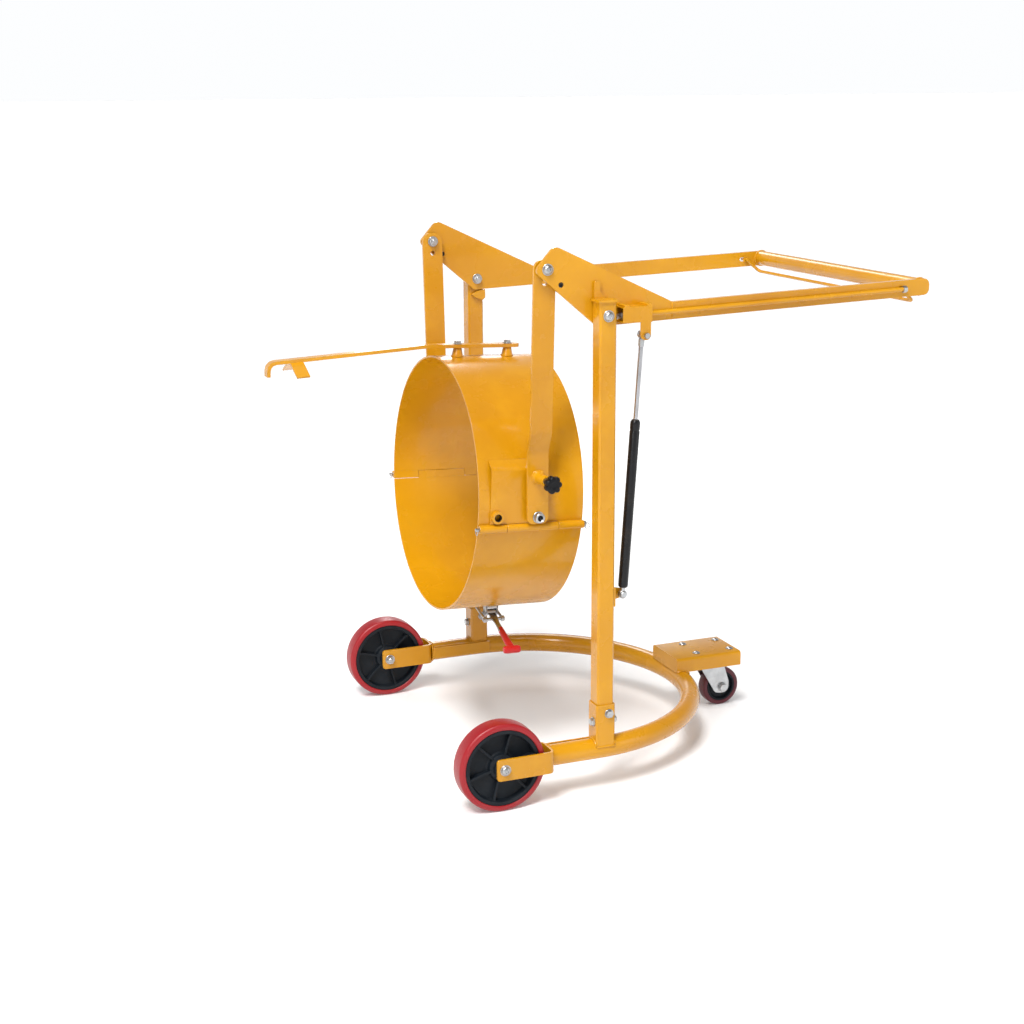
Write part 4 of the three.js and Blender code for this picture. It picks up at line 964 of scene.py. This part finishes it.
def build_pivot(name, side):
    """The holder's pivot bolt, and painted shade: a black disc in the bolt's socket and black sleeves in
    the bores of the index bushings.
    """
    pivot = Piece(name + "_holder_pivot_piece", "holder", ZINC, HOLDER)
    seat = aim((0, side * PIVOT_Y, 0), (0, side, 0))
    pivot.add(cylinder(8, 0, 22.9, 40), seat)
    pivot.add(washer(13, 8.2, 22.9, 25.4), seat)
    head = [(0, 25.4), (10.4, 25.4), (11, 26), (11, 35.8), (10, 37)]
    head += [(7, 37.4), (6.2, 36.6), (6, 30), (0, 30)]
    pivot.add(lathe(head, 48), seat)
    pivot.make([name + "_holder_pivot"], angle=30)
    # Painted shade: a black disc at the bottom of the bolt's socket and thin black sleeves lining the
    # bushings' bores stand in for the shade in these hollows.
    dark = Piece(name + "_holder_hole_shade", "holder", BLACK_PAINT, HOLDER)
    dark.add(lathe([(0, 29.8), (6.2, 29.8), (6.2, 31.5), (2.4, 32.5), (0, 31.2)], 32), seat)
    for x, z in ((-3.9, 89.9), (-90, 0)):
        dark.add(sleeve(7.6, 8.4, 297.6, 310.2), aim((x, 0, z), (0, side, 0)))
    dark.make(angle=30)


def build_hook_bolts():
    """The two bolts of the rim hook, each on a stand welded to the band."""
    foot, stand_top, bar_top = BAND_RISE + BAND_R + 0.2, 331.8, 340.2
    profile = [(0, foot), (14.4, foot), (14.6, foot + 1.5), (13, foot + 3)]
    profile += [(9.4, 331), (9, stand_top), (0, stand_top)]
    for node, x in (("hook_bolt_front", -81), ("hook_bolt_back", 42)):
        stand = Piece(node + "_stand", "holder", PAINT, HOLDER)
        stand.add(lathe(profile, 48), Matrix.Translation((x, 0, 0))).make(angle=30)
        head = Piece(node + "_piece", "holder", ZINC, HOLDER)
        seat = Matrix.Translation((x, 0, bar_top))
        head.add(cylinder(4.9, -9, 1), seat)
        head.add(washer(10.4, 5, 0, 1.5), seat)
        head.add(hexagon(8.6, 1.4, 7), seat)
        head.make([node], angle=30)


# ---------------------------------------------------------------- studio (metres)

def add_lamp(name, data, turn, place=(0, 0, 0)):
    lamp = bpy.data.objects.new(name, data)
    lamp.location = place
    lamp.rotation_euler = turn.to_track_quat("-Z", "Y").to_euler()
    bpy.context.scene.collection.objects.link(lamp)


def build_floor():
    """A pale floor that glows a little more with distance, so that it meets the white room."""
    size, thick = 150.0, 0.02
    verts, faces = block((-size, -size, -thick), (size, size, 0))
    mesh = bpy.data.meshes.new("floor")
    mesh.from_pydata(verts, [], faces)
    floor = bpy.data.objects.new("floor", mesh)
    bpy.context.scene.collection.objects.link(floor)
    n = Nodes("pale_floor", "floor")
    patches = n.spread(n.noise(0.8, 3), 0.3, 0.7)
    tone = n.mix(patches, (0.9, 0.9, 0.9, 1), (0.88, 0.88, 0.885, 1))
    reach = n.tree.nodes.new("ShaderNodeVectorMath")
    reach.operation = "LENGTH"
    n.tree.links.new(n.place, reach.inputs[0])
    glow = n.spread(reach.outputs["Value"], 1.6, 7, 0.08, 0.27)
    n.set(Base_Color=tone, Roughness=0.85, Emission_Color=(1, 1, 1, 1), Emission_Strength=glow)
    mesh.materials.append(n.material)


def build_world():
    """A white room, brighter at the horizon than overhead."""
    world = bpy.data.worlds.new("studio")
    world.use_nodes = True
    tree = world.node_tree
    background = tree.nodes["Background"]
    background.inputs["Color"].default_value = (0.98, 0.99, 1.0, 1)
    height = tree.nodes.new("ShaderNodeSeparateXYZ")
    tree.links.new(tree.nodes.new("ShaderNodeTexCoord").outputs["Generated"], height.inputs[0])
    fade = tree.nodes.new("ShaderNodeMapRange")
    for socket, number in (("From Min", 0.1), ("From Max", 0.45), ("To Min", 1.0), ("To Max", 0.28)):
        fade.inputs[socket].default_value = number
    tree.links.new(height.outputs["Z"], fade.inputs["Value"])
    tree.links.new(fade.outputs["Result"], background.inputs["Strength"])
    bpy.context.scene.world = world
    bpy.context.scene.view_settings.view_transform = "Standard"


def build_stage():
    """The floor, the room, a soft sun and four panels: name, place, watts, width, height."""
    build_floor()
    build_world()
    sun = bpy.data.lights.new("soft_sun", "SUN")
    sun.energy, sun.angle = 2.1, math.radians(16)
    add_lamp("soft_sun", sun, Vector((0.55, 0.6, -1.25)))
    panels = [
        ("key_strip", (-2.9, -2.6, 3.2), 60, 0.7, 2.6),
        ("fill_panel", (3.4, -3.4, 2.0), 16, 1.6, 2.4),
        ("back_strip", (1.0, 3.8, 3.0), 62, 1.0, 3.0),
        ("top_panel", (-0.8, -1.2, 3.6), 40, 1.2, 1.2),
    ]
    target = Vector((0, 0, 0.55))
    for name, place, power, wide, high in panels:
        data = bpy.data.lights.new(name, "AREA")
        data.shape, data.energy, data.size, data.size_y = "RECTANGLE", power, wide, high
        add_lamp(name, data, target - Vector(place), place)


def build_camera():
    """The camera solved from the photograph: place in millimetres, focal length in its pixels."""
    place, focal, pixels, sensor = (-1551.85, -3723.93, 1561.84), 1735.06, 1024, 36
    yaw, pitch, roll = (math.radians(a) for a in (21.89, -13.99, -0.31))
    level = math.cos(pitch)
    ahead = Vector((math.sin(yaw) * level, math.cos(yaw) * level, math.sin(pitch)))
    right = Vector((math.cos(yaw), -math.sin(yaw), 0))
    up = right.cross(ahead)
    side = right * math.cos(roll) + up * math.sin(roll)
    top = -right * math.sin(roll) + up * math.cos(roll)
    data = bpy.data.cameras.new("camera")
    data.lens, data.sensor_width = focal / pixels * sensor, sensor
    camera = bpy.data.objects.new("camera", data)
    turn = Matrix((side, top, -ahead)).transposed().to_4x4()
    camera.matrix_world = Matrix.Translation(WORLD @ Vector(place)) @ turn
    bpy.context.scene.collection.objects.link(camera)
    bpy.context.scene.camera = camera


build_camera()
build_stage()
build_base()
build_wheels()
build_fasteners()
build_lever()
build_arms()
build_holder()
